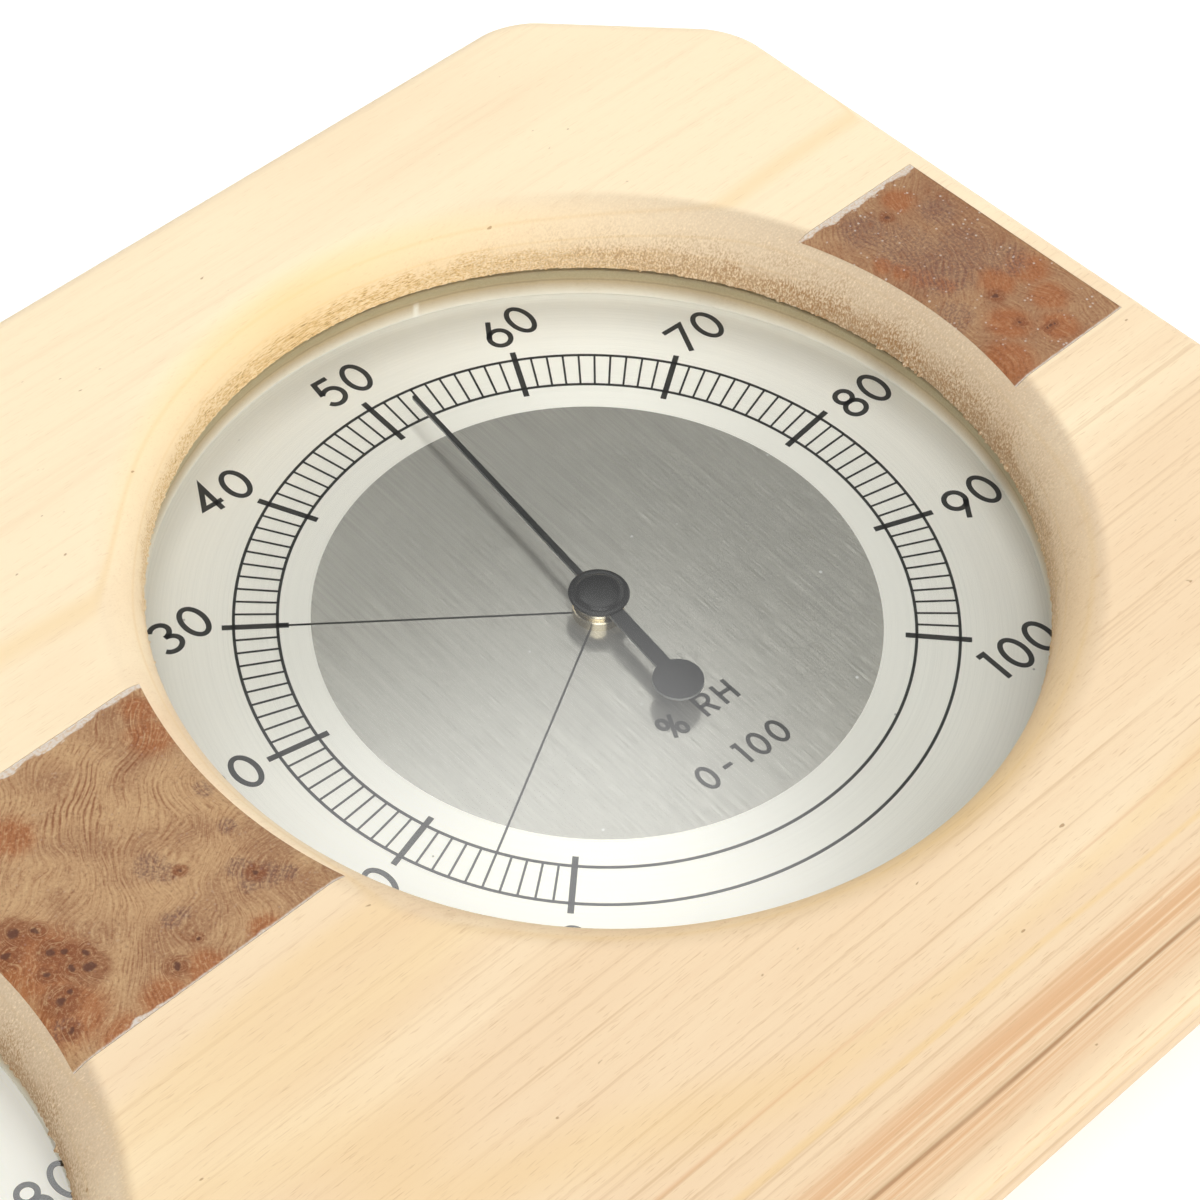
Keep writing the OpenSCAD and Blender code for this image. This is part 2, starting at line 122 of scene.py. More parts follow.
class DialSizes(bpy.types.PropertyGroup):
    """What is printed on each dial."""
    turn: angle("Turn", "Turn of both dials as fitted, clockwise negative", -3.3)
    outer_ring: length("Outer ring", "Radius of the scale's outer line", 35.5)
    inner_ring: length("Inner ring", "Radius of the scale's inner line", 31.24)
    ring_line: length("Ring line", "Width of both ring lines", 0.3)
    major_from: length("Major tick start", "Radius at which a major tick starts", 30.14)
    major_to: length("Major tick end", "Radius at which a major tick ends", 36.64)
    major_line: length("Major tick width", "Width of a major tick", 0.6)
    minor_line: length("Minor tick width", "Width of a minor tick", 0.22)
    zone_line: length("Zone line width", "Width of the lines from the hub to the scale", 0.22)
    centre: length("Brushed centre", "Radius of the brushed centre", 28)
    bore: length("Centre bore", "Bore of the brushed centre", 1.7)
    film: length("Print thickness", "Thickness of a printed layer", 0.02)
    numeral_height: length("Numeral height", "Height of a numeral", 4.3)
    numeral_width: length("Numeral width", "Width of a nought", 2.8)
    numeral_line: length("Numeral line", "Width of a numeral's stroke", 0.56)
    numeral_space: length("Numeral space", "Space between two numerals", 0.6)
    mark_line: length("Mark line", "Width of the unit marks' strokes", 0.44)
    sweep: angle("Sweep", "Sweep of each scale", 270)


class TurnedSizes(bpy.types.PropertyGroup):
    """Forms of the turned pieces that their boxes don't give."""
    bush_bore: length("Bush bore", "Radius of the bush's bore", 0.55)
    bush_barrel: length("Bush barrel", "Radius of the bush behind the dial", 1.6)
    bush_collar: length("Bush collar", "Radius of the bush above its flange", 2.2)
    bush_flange: length("Bush flange", "Height of the flange on the dial", 1.1)
    bush_edge: length("Bush edge", "Bevel of the bush's edges", 0.12)
    spacer_wall: length("Spacer wall", "Thickness of the spacer's wall", 2.4)
    spacer_edge: length("Spacer edge", "Bevel of the spacer's inner edges", 0.15)
    spacer_joint: angle("Spacer joint", "Place of the butt joint round the dial", 71)


class Finishes(bpy.types.PropertyGroup):
    """Colours of the visible surfaces."""
    pale_wood: colour("Pale wood", "Sanded wood between its growth layers", 251, 231, 196)
    pink_wood: colour("Pink wood", "Faint pinkish zones of the wood", 239, 211, 174)
    late_wood: colour("Late wood", "Amber lines where a growth layer ends", 238, 205, 148)
    amber: colour("Amber fibre", "Fibres torn up low in the coves", 222, 182, 118)
    heart_wood: colour("Heart wood", "Salmon band near the lower edge", 222, 174, 128)
    dark_streak: colour("Dark streak", "Mineral streak near the lower edge", 158, 110, 66)
    end_grain: colour("End grain", "Wood cut across the grain", 190, 168, 141)
    torn_fibre: colour("Torn fibre", "Shade between torn fibres", 164, 124, 80)
    pore: colour("Pore", "Pores of the wood", 210, 174, 132)
    burl_tan: colour("Burl tan", "Tan ground of the burl veneer", 188, 150, 108)
    burl_light: colour("Burl light", "Light fibres of the burl veneer", 208, 174, 130)
    burl_brown: colour("Burl brown", "Brown ground of the burl veneer", 138, 92, 62)
    burl_red: colour("Burl red", "Reddish rings of the burl veneer", 130, 74, 40)
    burl_orange: colour("Burl orange", "Orange patches of the burl veneer", 160, 95, 51)
    burl_eye: colour("Burl eye", "Dark eyes of the burl veneer", 88, 50, 34)
    burl_grey: colour("Burl grey", "Purple grey patches of the burl veneer", 118, 88, 76)
    filler: colour("Filler", "Dried filler along the veneer's edges", 220, 212, 202)
    silver: colour("Dial silver", "Satin lacquer round the dial", 253, 250, 242)
    brushed: colour("Brushed centre", "Brushed metal in the middle of the dial", 180, 177, 169)
    ink: colour("Print", "Printed scale and numerals", 34, 33, 29)
    black: colour("Pointer black", "Satin black of pointer and cap", 24, 24, 23)
    nickel: colour("Nickel", "Nickelled bush", 214, 204, 182)
    # Painted shade: the colour that the rim's shadow gives the upper part of the spacer's wall; a darker copy of it
    # also tints the card's fuzz
    spacer_grey: colour("Spacer top", "Upper part of the spacer's wall", 178, 164, 130)
    spacer_tan: colour("Spacer foot", "Middle of the spacer's wall", 192, 170, 133)
    brass: colour("Brass", "Brass of the movement", 202, 168, 96)
    steel: colour("Steel", "Bright steel of the movement", 190, 192, 194)
    zinc: colour("Zinc", "Zinc plating of screws and hanger", 176, 180, 182)
    case_metal: colour("Case", "Spun sheet of the cases", 196, 196, 194)
    bronze_strip: colour("Humidity strip", "Coated strip of the hygrometer's coil", 172, 118, 72)
    bimetal: colour("Bimetal strip", "Strip of the thermometer's coil", 160, 156, 150)


class StageLevels(bpy.types.PropertyGroup):
    """Camera and light."""
    camera_from: FloatVectorProperty(
        name="Camera", description="Place of the camera from the middle of the hygrometer's dial",
        default=(-169.613 * MM, -159.508 * MM, 266.424 * MM), subtype="TRANSLATION", unit="LENGTH")
    aim: FloatVectorProperty(
        name="Aim", description="Point on the dial's plane that the camera looks at",
        default=(1.225 * MM, 0.959 * MM, 0), subtype="TRANSLATION", unit="LENGTH")
    up: FloatVectorProperty(
        name="Up", description="Direction that is up in the picture",
        default=(0.508501, 0.553615, 0.659497), subtype="DIRECTION")
    lens: FloatProperty(name="Lens", description="Focal length", default=108.53, min=1, unit="CAMERA")
    sky: level("Room", "Level of the light from all round", 0.14)
    horizon: level("Backdrop", "Level that the white backdrop adds low down", 0.8)
    overhead: level("Overhead softbox", "Level that the overhead softbox adds", 2.35)
    fill: level("Fill softbox", "Level that the softbox on the camera's side adds", 1.5)
    high: level("High softbox", "Level that the softbox above the camera adds", 2.7)
    side: FloatProperty(
        name="Side lamp", description="Power of the wide lamp on the right", default=1.8, min=0, unit="POWER")
    side_size: length("Side lamp size", "Side of the lamp on the right", 700)
    side_distance: length("Side lamp distance", "Distance of the lamp on the right", 900)
    floor_size: length("Floor size", "Half side of the floor", 3000)
    floor_glow: level("Floor glow", "White that the floor shows to the camera", 0.35)
    floor_shade: level("Floor shade", "Share of light that the floor gives back", 0.8)


class TwinDialSettings(bpy.types.PropertyGroup):
    """All settings of the board's looks."""
    board: PointerProperty(type=BoardSizes, name="Board", description="Forms of the board")
    dial: PointerProperty(type=DialSizes, name="Dial", description="Print on the dials")
    turned: PointerProperty(type=TurnedSizes, name="Turned pieces", description="Forms of bushes and spacers")
    finish: PointerProperty(type=Finishes, name="Finishes", description="Colours of the surfaces")
    stage: PointerProperty(type=StageLevels, name="Stage", description="Camera and light")
    facets: IntProperty(name="Facets", description="Facets round a turned piece", default=192, min=24)


# Shader writing

def math_node(operation, reflected=False):
    """A method that adds one Math node to a wire and what it meets."""
    def method(wire, *others):
        values = (*others, wire) if reflected else (wire, *others)
        return wire.paint.node("ShaderNodeMath", {"operation": operation}, dict(enumerate(values)))
    return method


class Wire:
    """A shader socket that takes part in Python arithmetic."""

    def __init__(self, paint, socket):
        self.paint = paint
        self.socket = socket

    __add__, __radd__ = math_node("ADD"), math_node("ADD", True)
    __sub__, __rsub__ = math_node("SUBTRACT"), math_node("SUBTRACT", True)
    __mul__, __rmul__ = math_node("MULTIPLY"), math_node("MULTIPLY", True)
    __truediv__, __rtruediv__ = math_node("DIVIDE"), math_node("DIVIDE", True)
    __pow__ = math_node("POWER")
    __abs__ = math_node("ABSOLUTE")
    fraction = math_node("FRACT")
    lower = math_node("MINIMUM")
    higher = math_node("MAXIMUM")

    def ease(self, start, end):
        """0 at start and 1 at end, smooth between and level beyond; start may be above end."""
        made = self.paint.node("ShaderNodeMapRange", {"interpolation_type": "SMOOTHSTEP"}, {
            "Value": self, "From Min": min(start, end), "From Max": max(start, end)})
        return made if start < end else 1 - made


class Paint:
    """The node tree of one finish while it is written."""

    def __init__(self, owner):
        owner.use_nodes = True
        self.owner = owner
        self.tree = owner.node_tree
        self.tree.nodes.clear()

    def node(self, kind, settings=None, inputs=None, output=0):
        """Adds a node, sets it, fills its sockets with values or wires and gives one output as a wire."""
        made = self.tree.nodes.new(kind)
        for name, value in (settings or {}).items():
            setattr(made, name, value)
        for key, value in (inputs or {}).items():
            if isinstance(value, Wire):
                self.tree.links.new(value.socket, made.inputs[key])
            else:
                made.inputs[key].default_value = value
        return Wire(self, made.outputs[output])

    def vector(self, operation, first, second, output=0):
        """Vector maths on two vectors, or on a vector and its scale."""
        key = "Scale" if operation == "SCALE" else 1
        return self.node("ShaderNodeVectorMath", {"operation": operation}, {0: first, key: second}, output)

    def place(self):
        """Object coordinates in millimetres."""
        return self.vector("SCALE", self.node("ShaderNodeTexCoord", output="Object"), 1 / MM)

    def split(self, at):
        """The three parts of a vector."""
        return [self.node("ShaderNodeSeparateXYZ", inputs={0: at}, output=i) for i in range(3)]

    def stretch(self, at, scale):
        """Coordinates scaled by one number or by one for each axis."""
        return self.vector("MULTIPLY", at, scale if isinstance(scale, tuple) else (scale,) * 3)

    def shift(self, at, by):
        return self.vector("ADD", at, by)

    def turn(self, at, centre, radians):
        """Coordinates about a centre, turned about the upright axis."""
        moved = self.shift(at, [-c for c in centre])
        return self.node("ShaderNodeVectorRotate", {"rotation_type": "Z_AXIS"}, {"Vector": moved, "Angle": radians})

    def grain(self, at, scale, detail=2.0, roughness=0.5, output=0):
        """Noise from 0 to 1, its scale per millimetre."""
        return self.node("ShaderNodeTexNoise", inputs={
            "Vector": self.stretch(at, scale), "Scale": 1.0, "Detail": detail, "Roughness": roughness}, output=output)

    def warp(self, at, scale, reach):
        """Coordinates pushed about by slow noise."""
        push = self.shift(self.grain(at, scale, output=1), (-0.5, -0.5, -0.5))
        return self.shift(at, self.vector("SCALE", push, reach))

    def cells(self, at, scale):
        """Distance to the nearest of scattered points."""
        return self.node("ShaderNodeTexVoronoi", inputs={"Vector": self.stretch(at, scale), "Scale": 1.0})

    def layers(self, body, *coats):
        """A ground colour with coats of (colour, share) laid over it in turn."""
        for coat in coats:
            body = self.mix(body, *coat)
        return body

    def mix(self, first, second, share):
        """A colour between two."""
        first, second = (c if isinstance(c, Wire) else (*c[:3], 1.0) for c in (first, second))
        return self.node("ShaderNodeMix", {"data_type": "RGBA", "clamp_factor": True},
                         {0: share, 6: first, 7: second}, output=2)

    def bump(self, height, strength, depth_mm):
        return self.node("ShaderNodeBump", inputs={"Height": height, "Strength": strength, "Distance": depth_mm * MM})

    def lean(self, direction, slope):
        """The surface's own normal leaned along a direction."""
        push = self.vector("SCALE", direction, slope)
        leaned = self.shift(self.node("ShaderNodeNewGeometry", output="Normal"), push)
        return self.node("ShaderNodeVectorMath", {"operation": "NORMALIZE"}, {0: leaned})

    def surface(self, base, roughness, **others):
        """A Principled surface on the output, its sockets named with underscores for spaces."""
        sockets = {"Base Color": base if isinstance(base, Wire) else (*base[:3], 1.0), "Roughness": roughness}
        sockets.update({name.replace("_", " "): value for name, value in others.items()})
        return self.finish(self.node("ShaderNodeBsdfPrincipled", inputs=sockets))

    def finish(self, shader, output="ShaderNodeOutputMaterial"):
        """Puts a shader on the output and gives back what the tree belongs to."""
        self.tree.links.new(shader.socket, self.tree.nodes.new(output).inputs["Surface"])
        return self.owner


def finish(name):
    """A new finish ready to be written."""
    return Paint(bpy.data.materials.new(name))


def shade(tint, share):
    """A colour made darker or lighter."""
    return [min(1, c * share) for c in tint]


def opening_place(p, at, sizes):
    """How far a point lies inside the nearer opening's mouth, and its direction along the board, 1 to the right."""
    x, y, _ = p.split(at)
    centre = dial_centre("hygro") / MM
    out, up = abs(x) - centre.x, y - centre.y
    distance = (out * out + up * up) ** 0.5
    mouth = (sizes.opening + sizes.mouth) / MM
    return mouth - distance, out / distance * (x.ease(-1, 1) * 2 - 1)


def pale_wood(look, sizes):
    """Pale wood with its grain along the board, bands near the lower edge and fibres torn up low in the coves."""
    p = finish("pale_wood")
    at = p.place()
    _, y, z = p.split(at)
    # The pink zones, the pink patches and the pores all grow towards the lower edge, so the wood is darker towards it
    zones = p.grain(p.shift(at, (40, 11, 0)), (0.011, 0.055, 0.05), 3.0) - y * 0.003
    streaks = p.grain(at, (0.03, 0.9, 0.9), 3.0)
    dashes = p.grain(at, (0.4, 6.5, 6.5), 2.0, 0.6)
    broad = p.grain(p.shift(at, (0, 70, 0)), (0.012, 0.22, 0.2))
    lines = p.grain(p.shift(at, (0, 30, 0)), (0.016, 1.7, 1.7), 3.0, 0.6)
    layer = ((z + y * 0.03 + p.grain(at, (0.007, 0.03, 0.05), 1.0) * 4.0) / 1.9).fraction()
    lower = y.ease(30, -60)

    # Bands along the lower edge, which waver a little
    band = y + (p.grain(at, (0.02, 0.0, 0.0)) - 0.5) * 1.6 + (streaks - 0.5) * 0.9
    pink = band.ease(-51.6, -53.2) * band.ease(-55.2, -54.2)
    salmon = band.ease(-56.6, -59.4) * band.ease(-61.9, -60.5) * lines.ease(0.3, 0.56)
    below = band.ease(-62.0, -62.6) * band.ease(-65.8, -62.9) * lines.ease(0.34, 0.6)
    thin = p.grain(at, (0.03, 0.0, 0.0)).ease(0.3, 0.6) * 0.5 + 0.25

    # Coves: end grain where the cut crosses the fibres, with painted shade that makes it browner and darker on the
    # right-hand side of each opening, the side that faces away from the light
    inside, side = opening_place(p, at, sizes)
    ends = abs(side)
    # Painted shade: the end grain and its dark flecks are five times stronger on the right-hand side of each opening
    # than on the left
    across = (ends ** 2.2) * inside.ease(-0.05, 1.3) * (side.ease(-0.5, 0.4) * 0.8 + 0.2)
    speckle = p.grain(at, (4.0, 5.5, 2.8), 3.0, 0.7)
    fibre = p.grain(at, (0.8, 6.0, 6.0), 3.0, 0.65)
    tufts = p.grain(at, 0.5)
    torn = (z + tufts * 2.6).ease(20.2, 18.6) * inside.ease(0.1, 2.9)
    along = torn * (1 - across)
    patches = p.grain(at, (0.22, 0.22, 0.3)).ease(0.36, 0.62) * 0.7 + 0.3
    flecks = (z + tufts * 2.0).ease(22.5, 18.5) * speckle.ease(0.47, 0.6) * patches
    ticks = p.grain(p.shift(at, (5, 3, 9)), (0.7, 1.3, 1.3), 1.0).ease(0.79, 0.84)

    body = p.layers(
        look.pale_wood,
        (look.pink_wood, zones.ease(0.4, 0.68) * 0.85 + streaks.ease(0.5, 0.8) * 0.3),
        (look.pink_wood, broad.ease(0.46, 0.64) * (lower * 0.7 + 0.1)),
        (look.pore, lines.ease(0.52, 0.72) * (lower * 0.5 + 0.08)),
        (look.late_wood, abs(layer - 0.5).ease(0.38, 0.5) * 0.4),
        (look.pink_wood, pink * 0.6),
        (look.late_wood, abs(band + 54.7).ease(0.5, 0.1) * 0.6),
        (look.heart_wood, salmon.higher(below) * 0.85),
        (look.dark_streak, abs(band + 62.3).ease(0.42, 0.06) * thin),
        (look.heart_wood, abs(band + 50.2).ease(0.4, 0.1) * lines.ease(0.3, 0.6) * 0.5),
        (look.late_wood, (1 - ends) * inside.ease(0.3, 3.3) * 0.75),
        # End grain and its flecks, carrying the painted shade on the right-hand side of each opening through their
        # share
        (look.end_grain, across * (speckle.ease(0.3, 0.7) * 0.25 + 0.65)),
        (look.amber, along * fibre.ease(0.44, 0.58) * 0.9),
        (look.torn_fibre, along * fibre.ease(0.56, 0.68) * 0.8),
        (look.pale_wood, along * fibre.ease(0.42, 0.3) * 0.6),
        (look.torn_fibre, across * flecks),
        (look.torn_fibre, across * torn * speckle.ease(0.38, 0.56) * 0.75),
        (look.pale_wood, across * speckle.ease(0.42, 0.3) * 0.5),
        (look.pore, dashes.ease(0.58, 0.7) * (streaks * 0.5 + 0.2) * (y.ease(70, -60) * 0.8 + 0.35)),
        (look.torn_fibre, ticks * 0.7))
    relief = dashes * 0.4 + streaks * 0.2 + along * fibre * 2.0 + torn * across * speckle
    return p.surface(body, 0.56 + dashes * 0.1, Normal=p.bump(relief, 0.4, 0.1), Specular_IOR_Level=0.3)


def spots(p, at, places, reach=1.0):
    """Soft round spots at (x, y, radius) places in millimetres, 1 in their middles."""
    total = None
    for x, y, radius in places:
        spot = p.vector("DISTANCE", at, (x, y, 0), "Value").ease(radius * reach, 0)
        total = spot if total is None else total.higher(spot)
    return total


def burl(name, look, ground, plan):
    """Burl veneer: swirling fibres, eyes with reddish rings, grey and orange patches, filler along the long edges."""
    p = finish(name)
    at = p.place()
    y = p.split(at)[1]
    flat = p.stretch(at, (1, 1, 0))
    rough = p.warp(flat, 1.1, 0.8)
    across, along, _ = p.split(p.turn(p.warp(flat, 0.08, 10.0), (0, 0, 0), plan["flow"]))
    across = across + spots(p, flat, plan["eyes"] + plan["grey"], 3.5) * 2.2
    run = p.node("ShaderNodeCombineXYZ", inputs={0: across, 1: along})
    fibres = p.grain(run, (4.2, 0.5, 1.0), 4.0, 0.65)
    mottle = p.grain(flat, 3.0, 3.0, 0.7)
    cloud = p.grain(flat, (0.12, 0.16, 0.1))
    lines = abs((across / 0.62).fraction() - 0.5).ease(0.15, 0.5) * p.grain(run, (0.35, 0.14, 1.0)).ease(0.42, 0.6)
    grey = spots(p, rough, plan["grey"], 1.2).ease(0.1, 0.7)
    halos = spots(p, rough, plan["eyes"], 4.0).ease(0.05, 0.6)
    eyes = spots(p, rough, plan["eyes"], 1.15).ease(0.1, 0.7)
    swirls = spots(p, rough, plan["swirls"]).ease(0.1, 0.5)
    dust = p.cells(flat, 1.5).ease(0.26, 0.1) * p.grain(flat, 0.3).ease(0.48, 0.6)

    # Filler in ragged clumps along both long edges
    foot, head = (corner.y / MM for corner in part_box("inlay_middle"))
    ragged = p.grain(at, (0.55, 1.6, 1.0), 4.0, 0.7)
    clumps = p.grain(p.shift(at, (17, 0, 0)), (0.16, 0.0, 0.0))
    upper = (head - y) - (clumps.ease(0.3, 0.62) * plan["fill"] + 0.1) * (ragged * 1.8)
    lower = (y - foot) - (clumps.ease(0.55, 0.75) * 0.9 + 0.16) * (ragged * 1.8)
    rim = upper.lower(lower).ease(0.12, -0.12)

    body = p.layers(
        ground,
        (look.burl_brown, cloud.ease(0.4, 0.65) * 0.6),
        (look.burl_orange, (spots(p, rough, plan["orange"]) * 1.6).lower(0.85)),
        (look.burl_grey, grey * (mottle.ease(0.35, 0.65) * 0.55 + lines * 0.4 + 0.1)),
        (look.burl_red, halos * 0.8),
        (look.burl_red, lines * (swirls * 0.55 + 0.3)),
        (look.burl_light, fibres.ease(0.5, 0.3) * plan["light"]),
        (look.burl_red, fibres.ease(0.5, 0.7) * 0.65),
        (look.burl_light, mottle.ease(0.5, 0.32) * plan["light"] * 0.8),
        (look.burl_eye, mottle.ease(0.52, 0.72) * 0.42),
        (look.burl_eye, eyes * 0.85),
        (look.filler, dust * plan["specks"]),
        (p.mix(look.filler, look.burl_light, mottle.ease(0.42, 0.66) * 0.75), rim * 0.9))
    relief = fibres * 0.7 + mottle * 0.5 - eyes - lines * 0.3 + rim * 0.4
    return p.surface(body, 0.44 + mottle * 0.16, Normal=p.bump(relief, 0.3, 0.08), Specular_IOR_Level=0.35)


def dial_radius(p, kind):
    """Distance from a dial's axis in millimetres, as a place on one axis off the noise's own lattice."""
    x, y, _ = p.split(p.turn(p.place(), dial_centre(kind) / MM, 0.0))
    return p.node("ShaderNodeCombineXYZ", inputs={0: (x * x + y * y) ** 0.5, 1: 0.37, 2: 0.61})


def dial_silver(look, kind):
    """Satin lacquer over a turned sheet, whose fine rings draw the light out towards and away from the viewer."""
    p = finish(kind + "_dial_silver")
    at = p.place()
    body = p.layers(
        look.silver,
        (shade(look.silver, 0.97), p.grain(at, 0.05)),
        (shade(look.silver, 0.94), p.grain(dial_radius(p, kind), (9.0, 1.0, 1.0), 2.0, 0.6).ease(0.4, 0.7)),
        (look.ink, p.cells(at, 0.17).ease(0.03, 0.015) * 0.5))
    dust = p.grain(at, 9.0, 1.0)
    return p.surface(body, 0.44 + dust * 0.04, Metallic=0.5, Anisotropic=0.75, Anisotropic_Rotation=0.25)


def brushed_centre(look, kind, turn):
    """Straight brushing from twelve to six o'clock, with a few nicks painted as bright glints."""
    p = finish(kind + "_brushed_centre")
    at = p.turn(p.place(), dial_centre(kind) / MM, -turn)
    lines = p.grain(at, (20.0, 0.25, 1.0), 2.0, 0.6)
    tone = lines + (p.grain(at, (3.0, 0.05, 1.0)) - 0.5) * 0.5
    body = p.layers(
        shade(look.brushed, 0.52),
        (shade(look.brushed, 1.48), tone),
        # Painted glints: a few nicks painted as white specks
        ((1, 1, 1), p.cells(at, 0.21).ease(0.05, 0.02) * 0.6))
    across = (math.cos(turn), math.sin(turn), 0)
    return p.surface(body, 0.2 + lines * 0.05, Metallic=0.62, Normal=p.lean(across, (lines - 0.5) * 0.3))


def printed_ink(look):
    """Dull ink, worn a little."""
    p = finish("printed_ink")
    worn = p.grain(p.place(), 2.5, 3.0, 0.65)
    body = p.mix(look.ink, shade(look.ink, 2.2), worn.ease(0.55, 0.8) * 0.5)
    return p.surface(body, 0.5 + worn * 0.15)


def satin_black(look):
    """Black on the faces, bare metal on the cut edges."""
    p = finish("satin_black")
    upright = abs(p.split(p.node("ShaderNodeNewGeometry", output="Normal"))[2])
    edge = upright.ease(0.6, 0.3)
    grit = p.grain(p.place(), 6.0)
    body = p.mix(look.black, look.steel, edge * 0.7)
    return p.surface(body, 0.34 + grit * 0.12, Metallic=edge * 0.8, Normal=p.bump(grit, 0.1, 0.01))


def cap_black(look):
    """Smooth black with a faint mottle."""
    p = finish("cap_black")
    grit = p.grain(p.place(), 2.5)
    return p.surface(p.mix(shade(look.black, 0.8), look.black, grit), 0.2 + grit * 0.05, Specular_IOR_Level=0.3)


def metal(name, tint, roughness, scale):
    """Plain metal with fine marks of its own direction."""
    p = finish(name)
    at = p.place()
    marks = p.grain(at, scale, 3.0, 0.6)
    body = p.mix(shade(tint, 0.85), tint, marks * 0.6 + p.grain(at, 0.15) * 0.4)
    return p.surface(body, roughness + marks * 0.14, Metallic=1.0, Normal=p.bump(marks, 0.15, 0.01))


def spun_metal(name, tint, kind):
    """Sheet turned on a lathe: fine rings about the dial's axis."""
    p = finish(name)
    rings = p.grain(dial_radius(p, kind), (4.0, 1.0, 1.0), 3.0, 0.7)
    body = p.mix(shade(tint, 0.86), tint, rings)
    return p.surface(body, 0.36 + rings * 0.12, Metallic=1.0, Normal=p.bump(rings, 0.2, 0.02))


def spacer_wall(look, kind, joint):
    """The spacer's wall: painted shade from the rim as an olive band and a thin dark line over its upper part, card
    tan below, paling to the dial's silver at its foot, and a butt joint painted pale where light shows through its
    gap.
    """
    p = finish(kind + "_spacer_wall")
    at = p.place()
    low, high = (corner.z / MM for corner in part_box(kind + "_spacer"))
    fuzz = p.grain(at, 3.0, 3.0)
    share = (p.split(at)[2] - low) / (high - low) + (p.grain(at, 0.9) - 0.5) * 0.06
    along, across, _ = p.split(p.turn(at, dial_centre(kind) / MM, -joint))
    body = p.layers(
        look.silver,
        (look.spacer_tan, share.ease(-0.15, 0.7)),
        # Painted shade: the rim's shadow as an olive band over the upper part of the wall, with a thin dark line
        # below it
        (look.spacer_grey, share.ease(0.64, 0.8)),
        (shade(look.spacer_grey, 0.4), abs(share - 0.66).ease(0.05, 0.02) * 0.35),
        (shade(look.spacer_grey, 0.8), fuzz.ease(0.55, 0.8) * 0.25),
        # Painted light: the butt joint painted pale, as light showing through its gap, fading out under the painted
        # shade
        (look.silver, abs(across).ease(0.5, 0.1) * along.ease(0, 1) * share.ease(0.75, 0.4) * 0.8))
    return p.surface(body, 0.5, Normal=p.bump(fuzz, 0.2, 0.02))


def clear_glass():
    """Clear sheet: see-through, with the plain reflection of both its faces counted on the front."""
    p = finish("clear_glass")
    clear = p.node("ShaderNodeBsdfTransparent", inputs={"Color": (0.985, 0.992, 0.985, 1)})
    gloss = p.node("ShaderNodeBsdfGlossy", inputs={"Color": (1, 1, 1, 1), "Roughness": 0.0})
    fresnel = p.node("ShaderNodeFresnel", inputs={"IOR": 1.52})
    front = 1 - p.node("ShaderNodeNewGeometry", output="Backfacing")
    share = fresnel * front * (1.85 + p.grain(p.place(), 0.06) * 0.2)
    return p.finish(p.node("ShaderNodeMixShader", inputs={0: share, 1: clear, 2: gloss}))


# Shapes

def turned(profile, facets, axis_at, closed=False):
    """A shape of revolution from (radius, height) points about an upright axis."""
    bm = bmesh.new()
    verts = [bm.verts.new((radius, 0, height)) for radius, height in profile]
    pairs = list(zip(verts, verts[1:])) + ([(verts[-1], verts[0])] if closed else [])
    edges = [bm.edges.new(pair) for pair in pairs]
    bmesh.ops.spin(bm, geom=verts + edges, cent=(0, 0, 0), axis=(0, 0, 1), angle=math.tau, steps=facets,
                   use_merge=True)
    bmesh.ops.remove_doubles(bm, verts=bm.verts, dist=MM * 1e-4)
    bmesh.ops.recalc_face_normals(bm, faces=bm.faces)
    bmesh.ops.translate(bm, verts=bm.verts, vec=axis_at)
    return bm


def block(bm, low, high, turn=0.0):
    """Adds a box from corner to corner, turned about the upright axis."""
    low, high = Vector(low), Vector(high)
    place = Matrix.Translation((low + high) / 2) @ Matrix.Diagonal((*(high - low), 1))
    bmesh.ops.create_cube(bm, size=1, matrix=Matrix.Rotation(turn, 4, "Z") @ place)


def raise_copy(bm, made, height):
    """Lifts the new points of an extrusion."""
    verts = [g for g in made["geom"] if isinstance(g, bmesh.types.BMVert)]
    bmesh.ops.translate(bm, verts=verts, vec=(0, 0, height))


def as_object(name, bm):
    """A piece at the origin with the shape that was modelled."""
    mesh = bpy.data.meshes.new(name)
    bm.to_mesh(mesh)
    bm.free()
    made = bpy.data.objects.new(name, mesh)
    bpy.context.scene.collection.objects.link(made)
    return made


def settle_modifiers(piece):
    """Makes the mesh what its modifiers show, and drops them."""
    shown = piece.evaluated_get(bpy.context.evaluated_depsgraph_get())
    mesh = bpy.data.meshes.new_from_object(shown)
    piece.modifiers.clear()
    old, piece.data = piece.data, mesh
    bpy.data.meshes.remove(old)
    mesh.name = piece.name


def carve(piece, cutters):
    """Takes the cutters out of a piece one by one and removes them."""
    for cutter in cutters:
        cut = piece.modifiers.new("cut", "BOOLEAN")
        cut.operation = "DIFFERENCE"
        cut.solver = "MANIFOLD"
        cut.object = cutter
        settle_modifiers(piece)
        bpy.data.objects.remove(cutter)


def smooth(piece, degrees):
    """Shades a piece smooth between edges sharper than an angle."""
    piece.data.shade_smooth()
    piece.data.set_sharp_from_angle(angle=math.radians(degrees))


def fit(piece, body, slot, material, *replaced):
    """Rides a finished piece on its body, with its finish and the nodes that it stands for."""
    piece.data.materials.clear()
    piece.data.materials.append(material)
    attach(piece, body)
    if replaced:
        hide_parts(*replaced)


def dress(node, material):
    """Gives a carried-over node its finish."""
    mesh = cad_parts[node].data
    mesh.materials.clear()
    mesh.materials.append(material)


# Board and strip

